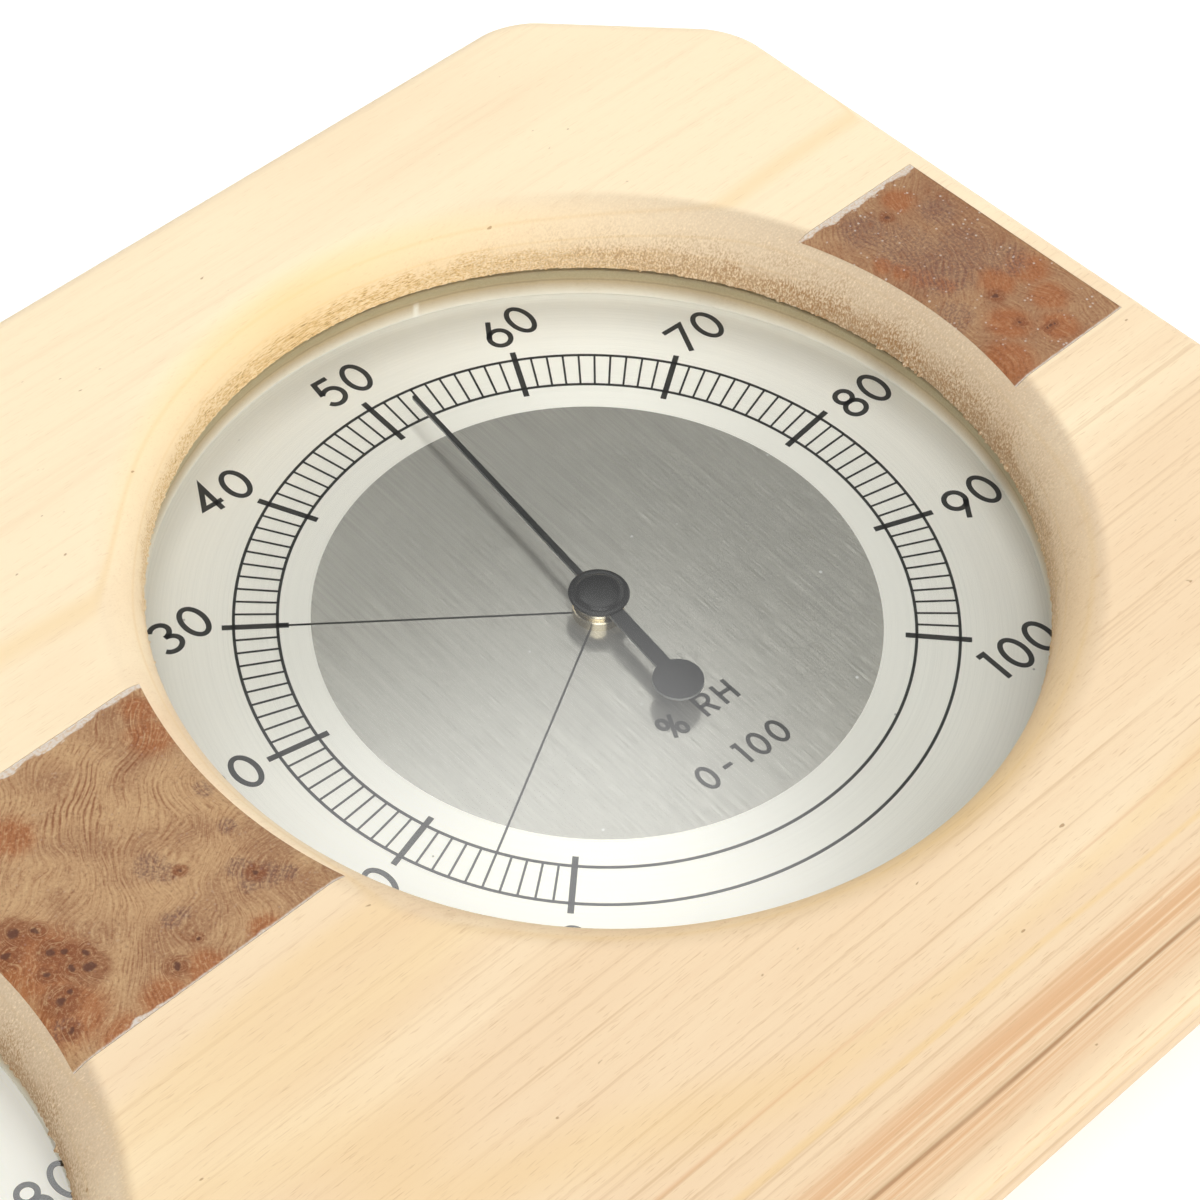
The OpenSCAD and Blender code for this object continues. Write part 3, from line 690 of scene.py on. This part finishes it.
def board_blank(sizes):
    """The board before its openings are cut: band, undercut and back land."""
    low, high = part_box("board")
    cut = sizes.corner_cut
    band_z = high.z - sizes.band
    bm = bmesh.new()
    corners = [
        (high.x, low.y + cut), (high.x, high.y - cut), (high.x - cut, high.y), (low.x + cut, high.y),
        (low.x, high.y - cut), (low.x, low.y + cut), (low.x + cut, low.y), (high.x - cut, low.y)]
    verts = [bm.verts.new((x, y, band_z)) for x, y in corners]
    bm.faces.new(verts)
    bmesh.ops.bevel(bm, geom=verts, offset=sizes.corner_round * math.tan(math.pi / 8), segments=8,
                    profile=0.5, affect="VERTICES", material=-1)
    raise_copy(bm, bmesh.ops.extrude_face_region(bm, geom=bm.faces[:]), sizes.band)
    bmesh.ops.recalc_face_normals(bm, faces=bm.faces)
    bottom = min(bm.faces, key=lambda f: f.calc_center_median().z)
    bmesh.ops.inset_region(bm, faces=[bottom], thickness=sizes.back_inset, use_even_offset=True)
    bmesh.ops.translate(bm, verts=bottom.verts, vec=(0, 0, low.z + sizes.back_land - band_z))
    raise_copy(bm, bmesh.ops.extrude_face_region(bm, geom=[bottom]), -sizes.back_land)
    land_z = low.z + sizes.back_land
    within = [f for f in bm.faces if len(f.verts) > 8 and abs(f.calc_center_median().z - land_z) < SAME_LEVEL]
    bmesh.ops.delete(bm, geom=within, context="FACES_ONLY")
    for height, offset, segments in ((high.z, sizes.edge_round, 6), (band_z, sizes.band_break, 2)):
        edges = [e for e in bm.edges if all(abs(v.co.z - height) < SAME_LEVEL for v in e.verts)]
        bmesh.ops.bevel(bm, geom=edges, offset=offset, segments=segments, profile=0.5, affect="EDGES", material=-1)
    bmesh.ops.recalc_face_normals(bm, faces=bm.faces)
    return bm


# Steps of an opening's mouth and wall, and its torn fibres as (noise per metre, share)
ARC_STEPS, WALL_STEPS = 14, 5
TEARS = ((2200, 1.0), (5000, 0.8))


def opening_cutter(sizes, kind, facets):
    """What a dial's opening takes out of the front, its lower rim torn a little."""
    top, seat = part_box("board")[1].z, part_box(kind + "_glass")[1].z
    middle = dial_centre(kind)
    round_z = top - sizes.mouth
    arc = [(sizes.opening + sizes.mouth * (1 - math.cos(a)), round_z + sizes.mouth * math.sin(a))
           for a in (math.pi / 2 * i / ARC_STEPS for i in range(ARC_STEPS + 1))]
    wall = [(sizes.opening, seat + (round_z - seat) * (i + 0.5) / WALL_STEPS) for i in range(WALL_STEPS)]
    profile = [(0, seat - MM), (sizes.opening, seat - MM), *wall, *arc,
               (sizes.opening + sizes.mouth, top + MM), (0, top + MM)]
    bm = turned(profile, facets, (middle.x, middle.y, 0))
    for v in bm.verts:
        out = Vector((v.co.x - middle.x, v.co.y - middle.y, 0))
        low = 1 - min(1, max(0, (v.co.z - seat) / (round_z + MM - seat)))
        if sizes.opening * 0.9 < out.length < sizes.opening * 1.02 and low > 0:
            tear = sum(share * max(0, noise.noise(v.co * fineness)) for fineness, share in TEARS)
            ends = 0.7 + 0.9 * abs(out.normalized().x) ** 3
            v.co -= out.normalized() * min(sizes.fray, tear * sizes.fray) * low * ends
    return as_object(kind + "_opening_cut", bm)


def boxed(name, low, high):
    """A cutter from corner to corner."""
    bm = bmesh.new()
    block(bm, low, high)
    return as_object(name, bm)


def disc(name, middle, radius, low, high, facets):
    """A round cutter between two levels."""
    profile = [(0, low), (radius, low), (radius, high), (0, high)]
    return as_object(name, turned(profile, facets, (middle[0], middle[1], 0)))


class TWINDIAL_OT_board(bpy.types.Operator):
    """Model the wooden board with its openings, pockets and recesses"""
    bl_idname = "twin_dial.board"
    bl_label = "Wooden board"

    def execute(self, context):
        settings = context.scene.twin_dial
        sizes = settings.board
        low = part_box("board")[0]
        piece = as_object("wooden_board", board_blank(sizes))
        left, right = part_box("inlay_left")[0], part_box("inlay_right")[1]
        plate_low, plate_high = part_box("hanger_plate")
        gap = Vector((sizes.gap, sizes.gap, 0))
        plate_gap = Vector((4, 4, 0)) * sizes.gap
        entry_y = (plate_low.y + plate_high.y) / 2 - sizes.keyhole_run / 2
        slot_y = entry_y + sizes.keyhole_run
        cutters = [
            boxed("inlay_cut", left - gap, right + gap + Vector((0, 0, MM))),
            boxed("plate_cut", Vector((plate_low.x, plate_low.y, low.z - MM)) - plate_gap, plate_high + plate_gap),
            boxed("run_cut", (-sizes.hollow, entry_y, plate_low.z), (sizes.hollow, slot_y, sizes.hollow_top)),
            disc("entry_cut", (0, entry_y), sizes.hollow, plate_low.z, sizes.hollow_top, HOLLOW_FACETS),
            disc("slot_cut", (0, slot_y), sizes.hollow, plate_low.z, sizes.hollow_top, HOLLOW_FACETS)]
        for kind in KINDS:
            middle = dial_centre(kind)
            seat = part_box(kind + "_glass")[1].z
            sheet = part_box(kind + "_case_screws")[0].z + sizes.flange_depth
            cutters += [
                boxed(kind + "_vent_cut", (middle.x - sizes.vent / 2, low.y - MM, low.z - MM),
                      (middle.x + sizes.vent / 2, middle.y, sheet)),
                disc(kind + "_flange_cut", middle, sizes.counterbore, low.z - MM, sheet, RING_FACETS),
                disc(kind + "_pocket_cut", middle, sizes.pocket, low.z - MM, seat, RING_FACETS),
                opening_cutter(sizes, kind, sizes.rim_facets)]
        carve(piece, cutters)
        smooth(piece, 40)
        piece.modifiers.new("even shading", "WEIGHTED_NORMAL").keep_sharp = True
        fit(piece, "board", "pale_wood", pale_wood(settings.finish, sizes), "board")
        return {"FINISHED"}


# Figure of each length of strip, as (x, y, radius) spots in millimetres, with the turn of its fibres in radians
BURL_PLANS = {
    "middle": {
        "flow": 0.78, "fill": 0.9, "specks": 0.1, "light": 0.5,
        "eyes": [(-10.15, 6.9, 0.7), (-12.05, 5.4, 0.6), (-8.55, 5.8, 0.45), (-8.95, 3.1, 0.6), (-8.05, 2.3, 0.5),
                 (-8.75, 0.6, 0.55), (-7.55, -0.3, 0.8), (-6.85, 1.0, 0.5), (-10.75, 1.5, 0.4), (-11.65, -1.5, 0.7),
                 (-10.45, -1.2, 0.4), (-2.05, -5.4, 0.5), (4.85, 2.3, 0.3), (9.45, -2.3, 0.4), (1.25, -4.4, 0.25),
                 (-12.75, -4.4, 0.4)],
        "grey": [(3.15, 4.4, 2.2), (3.55, 3.0, 1.6), (0.75, -1.3, 1.3), (2.05, -1.5, 1.0), (8.85, -1.0, 1.8),
                 (10.05, -3.2, 2.0), (8.15, -3.0, 1.2), (11.65, -4.2, 1.4), (11.15, 3.2, 1.3), (12.25, 8.0, 1.4),
                 (-12.95, -4.0, 1.8)],
        "orange": [(-10.75, 3.0, 6.0), (-11.75, -3.0, 5.0), (-9.75, -8.5, 4.0), (-4.75, -7.6, 3.6),
                   (-0.25, -7.4, 3.0), (6.25, -7.6, 2.4), (-3.75, 15.2, 3.2), (12.65, 15.8, 3.2),
                   (13.85, 19.0, 2.4), (-15.75, 10.0, 7.0)],
        "swirls": [(2.25, 13.5, 6.0), (7.25, 14.5, 7.0), (5.25, 9.5, 6.0), (10.25, 18.0, 5.0), (-4.75, -1.0, 3.5)]},
    "right": {
        "flow": 0.5, "fill": 1.15, "specks": 0.6, "light": 0.25,
        "eyes": [(113.15, 17.5, 0.35), (112.75, 2.1, 0.45), (112.45, 2.2, 0.3), (113.15, -4.6, 0.25),
                 (113.65, -4.6, 0.25), (114.15, -4.6, 0.25), (111.65, -2.2, 0.35)],
        "grey": [(111.25, 13.0, 5.0), (115.25, 9.0, 5.0), (109.75, 17.5, 4.0), (117.75, 14.5, 3.0),
                 (111.25, 8.0, 5.0), (107.45, 3.0, 3.0), (117.75, 5.0, 3.5)],
        "orange": [(107.55, 13.0, 1.5), (108.25, 11.0, 1.7), (109.05, 8.8, 1.9), (110.05, 6.6, 1.7),
                   (115.85, 18.6, 2.6), (114.45, 3.4, 3.0), (118.25, 2.6, 3.4), (110.75, -1.5, 3.4),
                   (116.85, -1.6, 3.0), (106.75, -5.0, 4.0), (114.25, -5.2, 3.0)],
        "swirls": [(113.25, 0.0, 4.0)]},
    "left": {
        "flow": 0.3, "fill": 0.7, "specks": 0.4, "light": 0.45,
        "eyes": [(-112.85, 12.8, 0.6), (-114.15, 11.5, 0.5), (-116.05, -1.4, 0.45), (-111.85, 0.6, 0.35),
                 (-117.85, 16.2, 0.4)],
        "grey": [(-114.25, 5.0, 4.0), (-111.75, 17.0, 3.0), (-117.75, 9.0, 3.0)],
        "orange": [(-112.25, -4.0, 4.5), (-117.25, 1.0, 3.5), (-115.25, 15.0, 4.0)],
        "swirls": [(-115.25, 7.0, 6.0)]},
}


class TWINDIAL_OT_inlays(bpy.types.Operator):
    """Finish the three lengths of burl strip"""
    bl_idname = "twin_dial.inlays"
    bl_label = "Burl strip"

    def execute(self, context):
        look = context.scene.twin_dial.finish
        dark = [(a + b) / 2 for a, b in zip(look.burl_tan, look.burl_brown)]
        for place, ground in (("left", look.burl_tan), ("middle", look.burl_tan), ("right", dark)):
            dress("inlay_" + place, burl("burl_" + place, look, ground, BURL_PLANS[place]))
        return {"FINISHED"}


# Dials

# Strokes of each sign: lines through points, or arcs of (middle x, middle y, radius x, radius y, start, end)
SIGNS = {
    "0": [("arc", 0, 0.5, 1, 0.5, 0, 360)],
    "1": [("line", (-0.5, 1), (0.2, 1), (0.2, 0))],
    "2": [("arc", 0, 0.7, 1, 0.3, 165, -35), ("line", (0.82, 0.53), (-1, 0), (1, 0))],
    "3": [("arc", -0.05, 0.76, 0.88, 0.24, 150, -90), ("arc", 0, 0.26, 1, 0.26, 90, -150)],
    "4": [("line", (0.38, 0), (0.38, 1), (-1, 0.28), (1, 0.28))],
    "5": [("line", (0.8, 1), (-0.62, 1), (-0.84, 0.5)), ("arc", -0.02, 0.32, 1.02, 0.32, 143, -150)],
    "6": [("arc", 0, 0.31, 1, 0.31, 0, 360), ("line", (0.42, 1), (-0.88, 0.44))],
    "7": [("line", (-1, 1), (1, 1), (-0.4, 0))],
    "8": [("arc", 0, 0.765, 0.82, 0.235, 0, 360), ("arc", 0, 0.27, 1, 0.27, 0, 360)],
    "9": [("arc", 0, 0.69, 1, 0.31, 0, 360), ("line", (-0.42, 0), (0.88, 0.56))],
    "%": [("arc", -0.85, 0.77, 0.6, 0.23, 0, 360), ("arc", 0.85, 0.23, 0.6, 0.23, 0, 360),
          ("line", (0.85, 1), (-0.85, 0))],
    "R": [("line", (-0.9, 0), (-0.9, 1), (0, 1)), ("arc", 0, 0.75, 0.95, 0.25, 90, -90),
          ("line", (0, 0.5), (-0.9, 0.5)), ("line", (0.05, 0.5), (0.95, 0))],
    "H": [("line", (-0.95, 0), (-0.95, 1)), ("line", (0.95, 0), (0.95, 1)), ("line", (-0.95, 0.52), (0.95, 0.52))],
    "C": [("arc", 0.1, 0.5, 1.1, 0.5, 48, 312)],
    "deg": [("arc", 0.2, 0.86, 0.48, 0.14, 0, 360)],
    "-": [("line", (-0.7, 0.46), (0.7, 0.46))],
}
SIGN_WIDTHS = {"1": 0.6, "%": 1.35, "deg": 0.6, " ": 0.45}


def sign_strokes(bm, sign, at, half_width, height):
    """Adds the centre lines of one sign, its foot at a point of the dial."""
    for kind, *values in SIGNS.get(sign, []):
        if kind == "line":
            verts = [bm.verts.new((x, y, 0)) for x, y in values]
            for pair in zip(verts, verts[1:]):
                bm.edges.new(pair)
        else:
            mid_x, mid_y, wide, tall, start, end = values
            first = bm.verts.new((math.cos(math.radians(start)), math.sin(math.radians(start)), 0))
            known = set(bm.verts)
            whole = abs(end - start) == 360
            bmesh.ops.spin(bm, geom=[first], cent=(0, 0, 0), axis=(0, 0, 1), angle=math.radians(end - start),
                           steps=40 if whole else 24, use_merge=whole)
            verts = [first] + [v for v in bm.verts if v not in known]
            bmesh.ops.scale(bm, vec=(wide, tall, 1), verts=verts)
            bmesh.ops.translate(bm, vec=(mid_x, mid_y, 0), verts=verts)
        bmesh.ops.scale(bm, vec=(half_width, height, 1), verts=verts)
        bmesh.ops.translate(bm, vec=at, verts=verts)


def line_of_signs(bm, signs, at, sizes, size=1.0):
    """Adds a row of signs centred on a point of the dial, upright in the dial's own frame."""
    height = sizes.numeral_height * size - sizes.numeral_line
    half = (sizes.numeral_width * size - sizes.numeral_line) / 2
    steps = [sizes.numeral_width * size * SIGN_WIDTHS.get(s, 1.0) for s in signs]
    pen = at[0] - (sum(steps) + sizes.numeral_space * size * (len(signs) - 1)) / 2
    for sign, step in zip(signs, steps):
        sign_strokes(bm, sign, (pen + step / 2, at[1] - height / 2, 0), half, height)
        pen += step + sizes.numeral_space * size


def print_strokes(name, bm, kind, sizes, line, lift):
    """Makes centre lines a printed layer of one line width on the dial."""
    bmesh.ops.remove_doubles(bm, verts=bm.verts, dist=MM * 0.01)
    raise_copy(bm, bmesh.ops.extrude_edge_only(bm, edges=bm.edges), sizes.film)
    bmesh.ops.recalc_face_normals(bm, faces=bm.faces)
    bmesh.ops.rotate(bm, verts=bm.verts, cent=(0, 0, 0), matrix=Matrix.Rotation(sizes.turn, 3, "Z"))
    bmesh.ops.translate(bm, verts=bm.verts, vec=dial_centre(kind) + Vector((0, 0, lift)))
    piece = as_object(name, bm)
    wide = piece.modifiers.new("line width", "SOLIDIFY")
    wide.thickness = line
    wide.offset = 0
    wide.use_even_offset = True
    settle_modifiers(piece)
    return piece


def bearing(sizes, value, span):
    """Direction of a value on the scale, anticlockwise from three o'clock on the dial."""
    return math.pi / 2 - sizes.sweep * (value / span - 0.5)


# Span of each scale, values whose zone line is drawn, numeral radius and the signs on the brushed centre
SCALES = {
    "hygro": (100, (5, 30), 40.05, (("%", " ", "R", "H"), ("0", "-", "1", "0", "0"))),
    "thermo": (90, (), 40.3, (("deg", "C"), ("0", "-", "9", "0"))),
}
# Places of numerals from their dial's middle, as shares of the outer ring
PLACES = {"thermo": {80: (1.144, -0.361)}, "hygro": {
    50: (0.001, 1.128), 60: (0.528, 1.010), 70: (0.945, 0.646), 80: (1.149, 0.144), 90: (1.111, -0.348),
    100: (0.806, -0.839), 40: (-0.527, 1.011), 30: (-0.927, 0.673), 20: (-1.135, 0.168), 10: (-1.080, -0.347),
    0: (-0.772, -0.813)}}
MARK_LINES = ((-0.8, -15.4, 0.74), (-1.15, -22.2, 0.72))


class TWINDIAL_OT_dials(bpy.types.Operator):
    """Model the brushed centre, scale and numerals of both dials"""
    bl_idname = "twin_dial.dials"
    bl_label = "Dials"

    def execute(self, context):
        settings = context.scene.twin_dial
        sizes, look = settings.dial, settings.finish
        ink = printed_ink(look)
        for kind in KINDS:
            middle = dial_centre(kind)
            dress(kind + "_dial", dial_silver(look, kind))
            ring = [(sizes.bore, 0), (sizes.centre, 0), (sizes.centre, sizes.film), (sizes.bore, sizes.film)]
            centre = as_object(kind + "_brushed_centre", turned(ring, settings.facets, middle, closed=True))
            fit(centre, "board", "dial_metal", brushed_centre(look, kind, sizes.turn))
            fit(self.scale(kind, sizes, middle), "board", "pointer_black", ink)
            fit(self.numerals(kind, sizes), "board", "pointer_black", ink)
            fit(self.marks(kind, sizes), "board", "pointer_black", ink)
        return {"FINISHED"}

    def scale(self, kind, sizes, middle):
        span, zones, _, _ = SCALES[kind]
        top = 2 * sizes.film
        half = sizes.ring_line / 2
        bm = bmesh.new()
        for radius in (sizes.outer_ring, sizes.inner_ring):
            ring = turned([(radius - half, 0), (radius + half, 0), (radius + half, top), (radius - half, top)],
                          RING_FACETS, (0, 0, 0), closed=True)
            mesh = bpy.data.meshes.new("ring")
            ring.to_mesh(mesh)
            ring.free()
            bm.from_mesh(mesh)
            bpy.data.meshes.remove(mesh)
        lines = [(v, sizes.major_from, sizes.major_to, sizes.major_line) if v % 10 == 0 else
                 (v, sizes.inner_ring, sizes.outer_ring, sizes.minor_line) for v in range(span + 1)]
        lines += [(v, 0.0, sizes.inner_ring, sizes.zone_line) for v in zones]
        for value, start, end, wide in lines:
            block(bm, (start, -wide / 2, 0), (end, wide / 2, top), bearing(sizes, value, span))
        bmesh.ops.rotate(bm, verts=bm.verts, cent=(0, 0, 0), matrix=Matrix.Rotation(sizes.turn, 3, "Z"))
        bmesh.ops.translate(bm, verts=bm.verts, vec=middle)
        return as_object(kind + "_scale", bm)

    def numerals(self, kind, sizes):
        span, _, reach, _ = SCALES[kind]
        bm = bmesh.new()
        for value in range(0, span + 1, 10):
            a = bearing(sizes, value, span)
            at = (reach * MM * math.cos(a), reach * MM * math.sin(a))
            if value in PLACES[kind]:
                at = [share * sizes.outer_ring for share in PLACES[kind][value]]
            line_of_signs(bm, str(value), at, sizes)
        return print_strokes(kind + "_numerals", bm, kind, sizes, sizes.numeral_line, 0)

    def marks(self, kind, sizes):
        bm = bmesh.new()
        for signs, (x, y, size) in zip(SCALES[kind][3], MARK_LINES):
            line_of_signs(bm, signs, (x * MM, y * MM), sizes, size)
        return print_strokes(kind + "_unit_marks", bm, kind, sizes, sizes.mark_line, sizes.film)


# Pointers, bushes and spacers

# The cap's profile from its top, as shares of its radius and height
CAP_PROFILE = ((0, 1), (0.45, 0.99), (0.64, 0.93), (0.74, 0.78), (0.78, 0.6), (0.8, 0.52), (0.83, 0.55), (0.87, 0.6),
               (0.95, 0.58), (0.99, 0.44), (1, 0.2), (0.985, 0), (0, 0))


class TWINDIAL_OT_pointers(bpy.types.Operator):
    """Model the domed caps and bushes, and finish the pointers"""
    bl_idname = "twin_dial.pointers"
    bl_label = "Pointers and bushes"

    def execute(self, context):
        settings = context.scene.twin_dial
        look = settings.finish
        turns = settings.turned
        edge, collar = turns.bush_edge, turns.bush_collar
        black, cap = satin_black(look), cap_black(look)
        nickel = metal("nickel", look.nickel, 0.16, (0.5, 0.5, 6.0))
        for kind in KINDS:
            middle = dial_centre(kind)
            axis = (middle.x, middle.y, 0)
            dress(kind + "_pointer", black)
            low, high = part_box(kind + "_pointer_cap")
            radius, foot, tall = (high.x - low.x) / 2, low.z, high.z - low.z
            shape = [(r * radius, foot + h * tall) for r, h in CAP_PROFILE]
            domed = as_object(kind + "_domed_cap", turned(shape, CAP_FACETS, axis))
            smooth(domed, 40)
            fit(domed, kind + "_pointer", "pointer_black", cap, kind + "_pointer_cap")
            low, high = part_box(kind + "_bush")
            wide, face = (high.x - low.x) / 2, middle.z
            step = face + turns.bush_flange
            shape = [(turns.bush_bore, low.z), (turns.bush_barrel, low.z), (turns.bush_barrel, face), (wide, face),
                     (wide, step - edge), (wide - edge, step), (collar, step), (collar, high.z - edge),
                     (collar - edge, high.z), (turns.bush_bore, high.z)]
            bush = as_object(kind + "_turned_bush", turned(shape, BUSH_FACETS, axis, closed=True))
            smooth(bush, 30)
            fit(bush, "board", "nickel", nickel, kind + "_bush")
        return {"FINISHED"}


class TWINDIAL_OT_spacers(bpy.types.Operator):
    """Model the spacer ring under each glass and finish the glass"""
    bl_idname = "twin_dial.spacers"
    bl_label = "Spacers and glass"

    def execute(self, context):
        settings = context.scene.twin_dial
        turns = settings.turned
        edge = turns.spacer_edge
        glass = clear_glass()
        for kind in KINDS:
            low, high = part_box(kind + "_spacer")
            middle = dial_centre(kind)
            outer = (high.x - low.x) / 2
            inner = outer - turns.spacer_wall
            shape = [(inner, low.z + edge), (inner + edge, low.z), (outer, low.z), (outer, high.z),
                     (inner + edge, high.z), (inner, high.z - edge)]
            ring = as_object(kind + "_spacer_ring", turned(shape, RING_FACETS, (middle.x, middle.y, 0), closed=True))
            smooth(ring, 30)
            wall = spacer_wall(settings.finish, kind, turns.spacer_joint)
            fit(ring, "board", "spacer_card", wall, kind + "_spacer")
            dress(kind + "_glass", glass)
        return {"FINISHED"}


class TWINDIAL_OT_fittings(bpy.types.Operator):
    """Finish the movements, cases, screws and hanger"""
    bl_idname = "twin_dial.fittings"
    bl_label = "Movements, cases and hanger"

    def execute(self, context):
        look = context.scene.twin_dial.finish
        brass = metal("movement_brass", look.brass, 0.24, (4.0, 0.5, 0.5))
        steel = metal("bright_steel", look.steel, 0.2, (0.5, 5.0, 0.5))
        zinc = metal("zinc_plate", look.zinc, 0.34, (1.2, 1.2, 1.2))
        strips = {
            "hygro": metal("humidity_strip", look.bronze_strip, 0.42, (0.6, 0.6, 3.0)),
            "thermo": metal("bimetal_strip", look.bimetal, 0.32, (0.6, 0.6, 3.0))}
        nickel = metal("nut_nickel", look.nickel, 0.2, (2.0, 2.0, 2.0))
        for kind in KINDS:
            for name in ("bridge", "rear_bearing", "coil_stud", "collet"):
                dress(kind + "_" + name, brass)
            for name in ("regulator", "arbor"):
                dress(kind + "_" + name, steel)
            dress(kind + "_bush_nut", nickel)
            dress(kind + "_coil", strips[kind])
            dress(kind + "_case", spun_metal(kind + "_spun_case", look.case_metal, kind))
            dress(kind + "_case_screws", zinc)
        dress("hanger_plate", zinc)
        dress("hanger_screws", zinc)
        return {"FINISHED"}


# Stage

# Round softboxes: their level's name, direction, and half angles of the edge and the even core in degrees
SOFTBOXES = (("fill", (-0.34, -0.73, 0.6), 35, 22), ("high", (-0.32, -0.32, 0.9), 27, 14))
SIDE_LAMP_FROM = (0.88, -0.1, 0.46)
FLOOR_DROP = 0.2 * MM


def seen_share(p, gloss=1.0):
    """1 for rays that come from the camera, straight or through glass, and a share of those that come by gloss."""
    straight, glossy, through = (
        p.node("ShaderNodeLightPath", output=f"Is {name} Ray") for name in ("Camera", "Glossy", "Transmission"))
    return straight.higher(through).higher(glossy * gloss)


class TWINDIAL_OT_stage(bpy.types.Operator):
    """Set the floor, light and camera"""
    bl_idname = "twin_dial.stage"
    bl_label = "Stage"

    def execute(self, context):
        scene = context.scene
        stage = scene.twin_dial.stage
        middle = dial_centre("hygro")
        self.floor(stage)
        self.sky(scene, stage)
        self.side_lamp(scene, stage, middle)
        self.camera(scene, stage, middle)
        scene.view_settings.view_transform = "Standard"
        return {"FINISHED"}

    def floor(self, stage):
        bm = bmesh.new()
        bmesh.ops.create_grid(bm, x_segments=2, y_segments=2, size=stage.floor_size)
        bmesh.ops.translate(bm, verts=bm.verts, vec=(0, 0, -FLOOR_DROP))
        floor = as_object("floor", bm)
        p = finish("pale_floor")
        pale = p.node("ShaderNodeBsdfDiffuse", inputs={"Color": (stage.floor_shade,) * 3 + (1,)})
        glow = p.node("ShaderNodeEmission", inputs={
            "Color": (1, 1, 1, 1), "Strength": seen_share(p) * stage.floor_glow})
        floor.data.materials.append(p.finish(p.node("ShaderNodeAddShader", inputs={0: pale, 1: glow})))

    def sky(self, scene, stage):
        world = bpy.data.worlds.new("studio")
        scene.world = world
        p = Paint(world)
        way = p.node("ShaderNodeTexCoord", output="Generated")
        east, north, height = p.split(way)
        across = east.ease(-0.12, 0.08) * east.ease(0.52, 0.46)
        along = north.ease(-0.12, 0.08) * (north + east * 0.44).ease(0.69, 0.62)
        overhead = across * along * abs(east - north).ease(0.55, 0.4)
        light = overhead * stage.overhead + height.ease(0.5, 0.3) * stage.horizon + stage.sky
        for name, middle, edge, core in SOFTBOXES:
            facing = p.vector("DOT_PRODUCT", way, Vector(middle).normalized(), "Value")
            edge, core = math.cos(math.radians(edge)), math.cos(math.radians(core))
            light = light + facing.ease(edge, core) * getattr(stage, name)
        white = seen_share(p, height.ease(0.4, 0.12))
        p.finish(p.node("ShaderNodeBackground", inputs={
            "Color": (1, 1, 1, 1), "Strength": light * (1 - white) + white}), "ShaderNodeOutputWorld")

    def side_lamp(self, scene, stage, middle):
        lamp = bpy.data.lights.new("side_lamp", "AREA")
        lamp.energy = stage.side
        lamp.size = stage.side_size
        lit = bpy.data.objects.new("side_lamp", lamp)
        scene.collection.objects.link(lit)
        way = Vector(SIDE_LAMP_FROM).normalized()
        lit.location = middle + way * stage.side_distance
        lit.rotation_euler = way.to_track_quat("Z", "Y").to_euler()

    def camera(self, scene, stage, middle):
        eye = bpy.data.objects.new("camera", bpy.data.cameras.new("camera"))
        scene.collection.objects.link(eye)
        place = middle + Vector(stage.camera_from)
        back = (place - middle - Vector(stage.aim)).normalized()
        side = Vector(stage.up).cross(back).normalized()
        turn = Matrix((side, back.cross(side), back)).transposed()
        eye.matrix_world = Matrix.Translation(place) @ turn.to_4x4()
        eye.data.lens = stage.lens
        eye.data.clip_start = 0.01
        scene.camera = eye


class TWINDIAL_PT_panel(bpy.types.Panel):
    """Lists the steps that dress the board"""
    bl_idname = "TWINDIAL_PT_panel"
    bl_label = "Twin-dial board"
    bl_space_type = "VIEW_3D"
    bl_region_type = "UI"
    bl_category = "Twin-dial board"

    def draw(self, context):
        for step in STEPS:
            self.layout.operator(step.bl_idname)


STEPS = (TWINDIAL_OT_board, TWINDIAL_OT_inlays, TWINDIAL_OT_dials, TWINDIAL_OT_pointers, TWINDIAL_OT_spacers,
         TWINDIAL_OT_fittings, TWINDIAL_OT_stage)
CLASSES = (BoardSizes, DialSizes, TurnedSizes, Finishes, StageLevels, TwinDialSettings, *STEPS, TWINDIAL_PT_panel)


def register():
    for cls in CLASSES:
        bpy.utils.register_class(cls)
    bpy.types.Scene.twin_dial = PointerProperty(type=TwinDialSettings)


def unregister():
    del bpy.types.Scene.twin_dial
    for cls in reversed(CLASSES):
        bpy.utils.unregister_class(cls)


def main():
    register()
    bpy.ops.twin_dial.board()
    bpy.ops.twin_dial.inlays()
    bpy.ops.twin_dial.dials()
    bpy.ops.twin_dial.pointers()
    bpy.ops.twin_dial.spacers()
    bpy.ops.twin_dial.fittings()
    bpy.ops.twin_dial.stage()


if __name__ == "__main__":
    main()
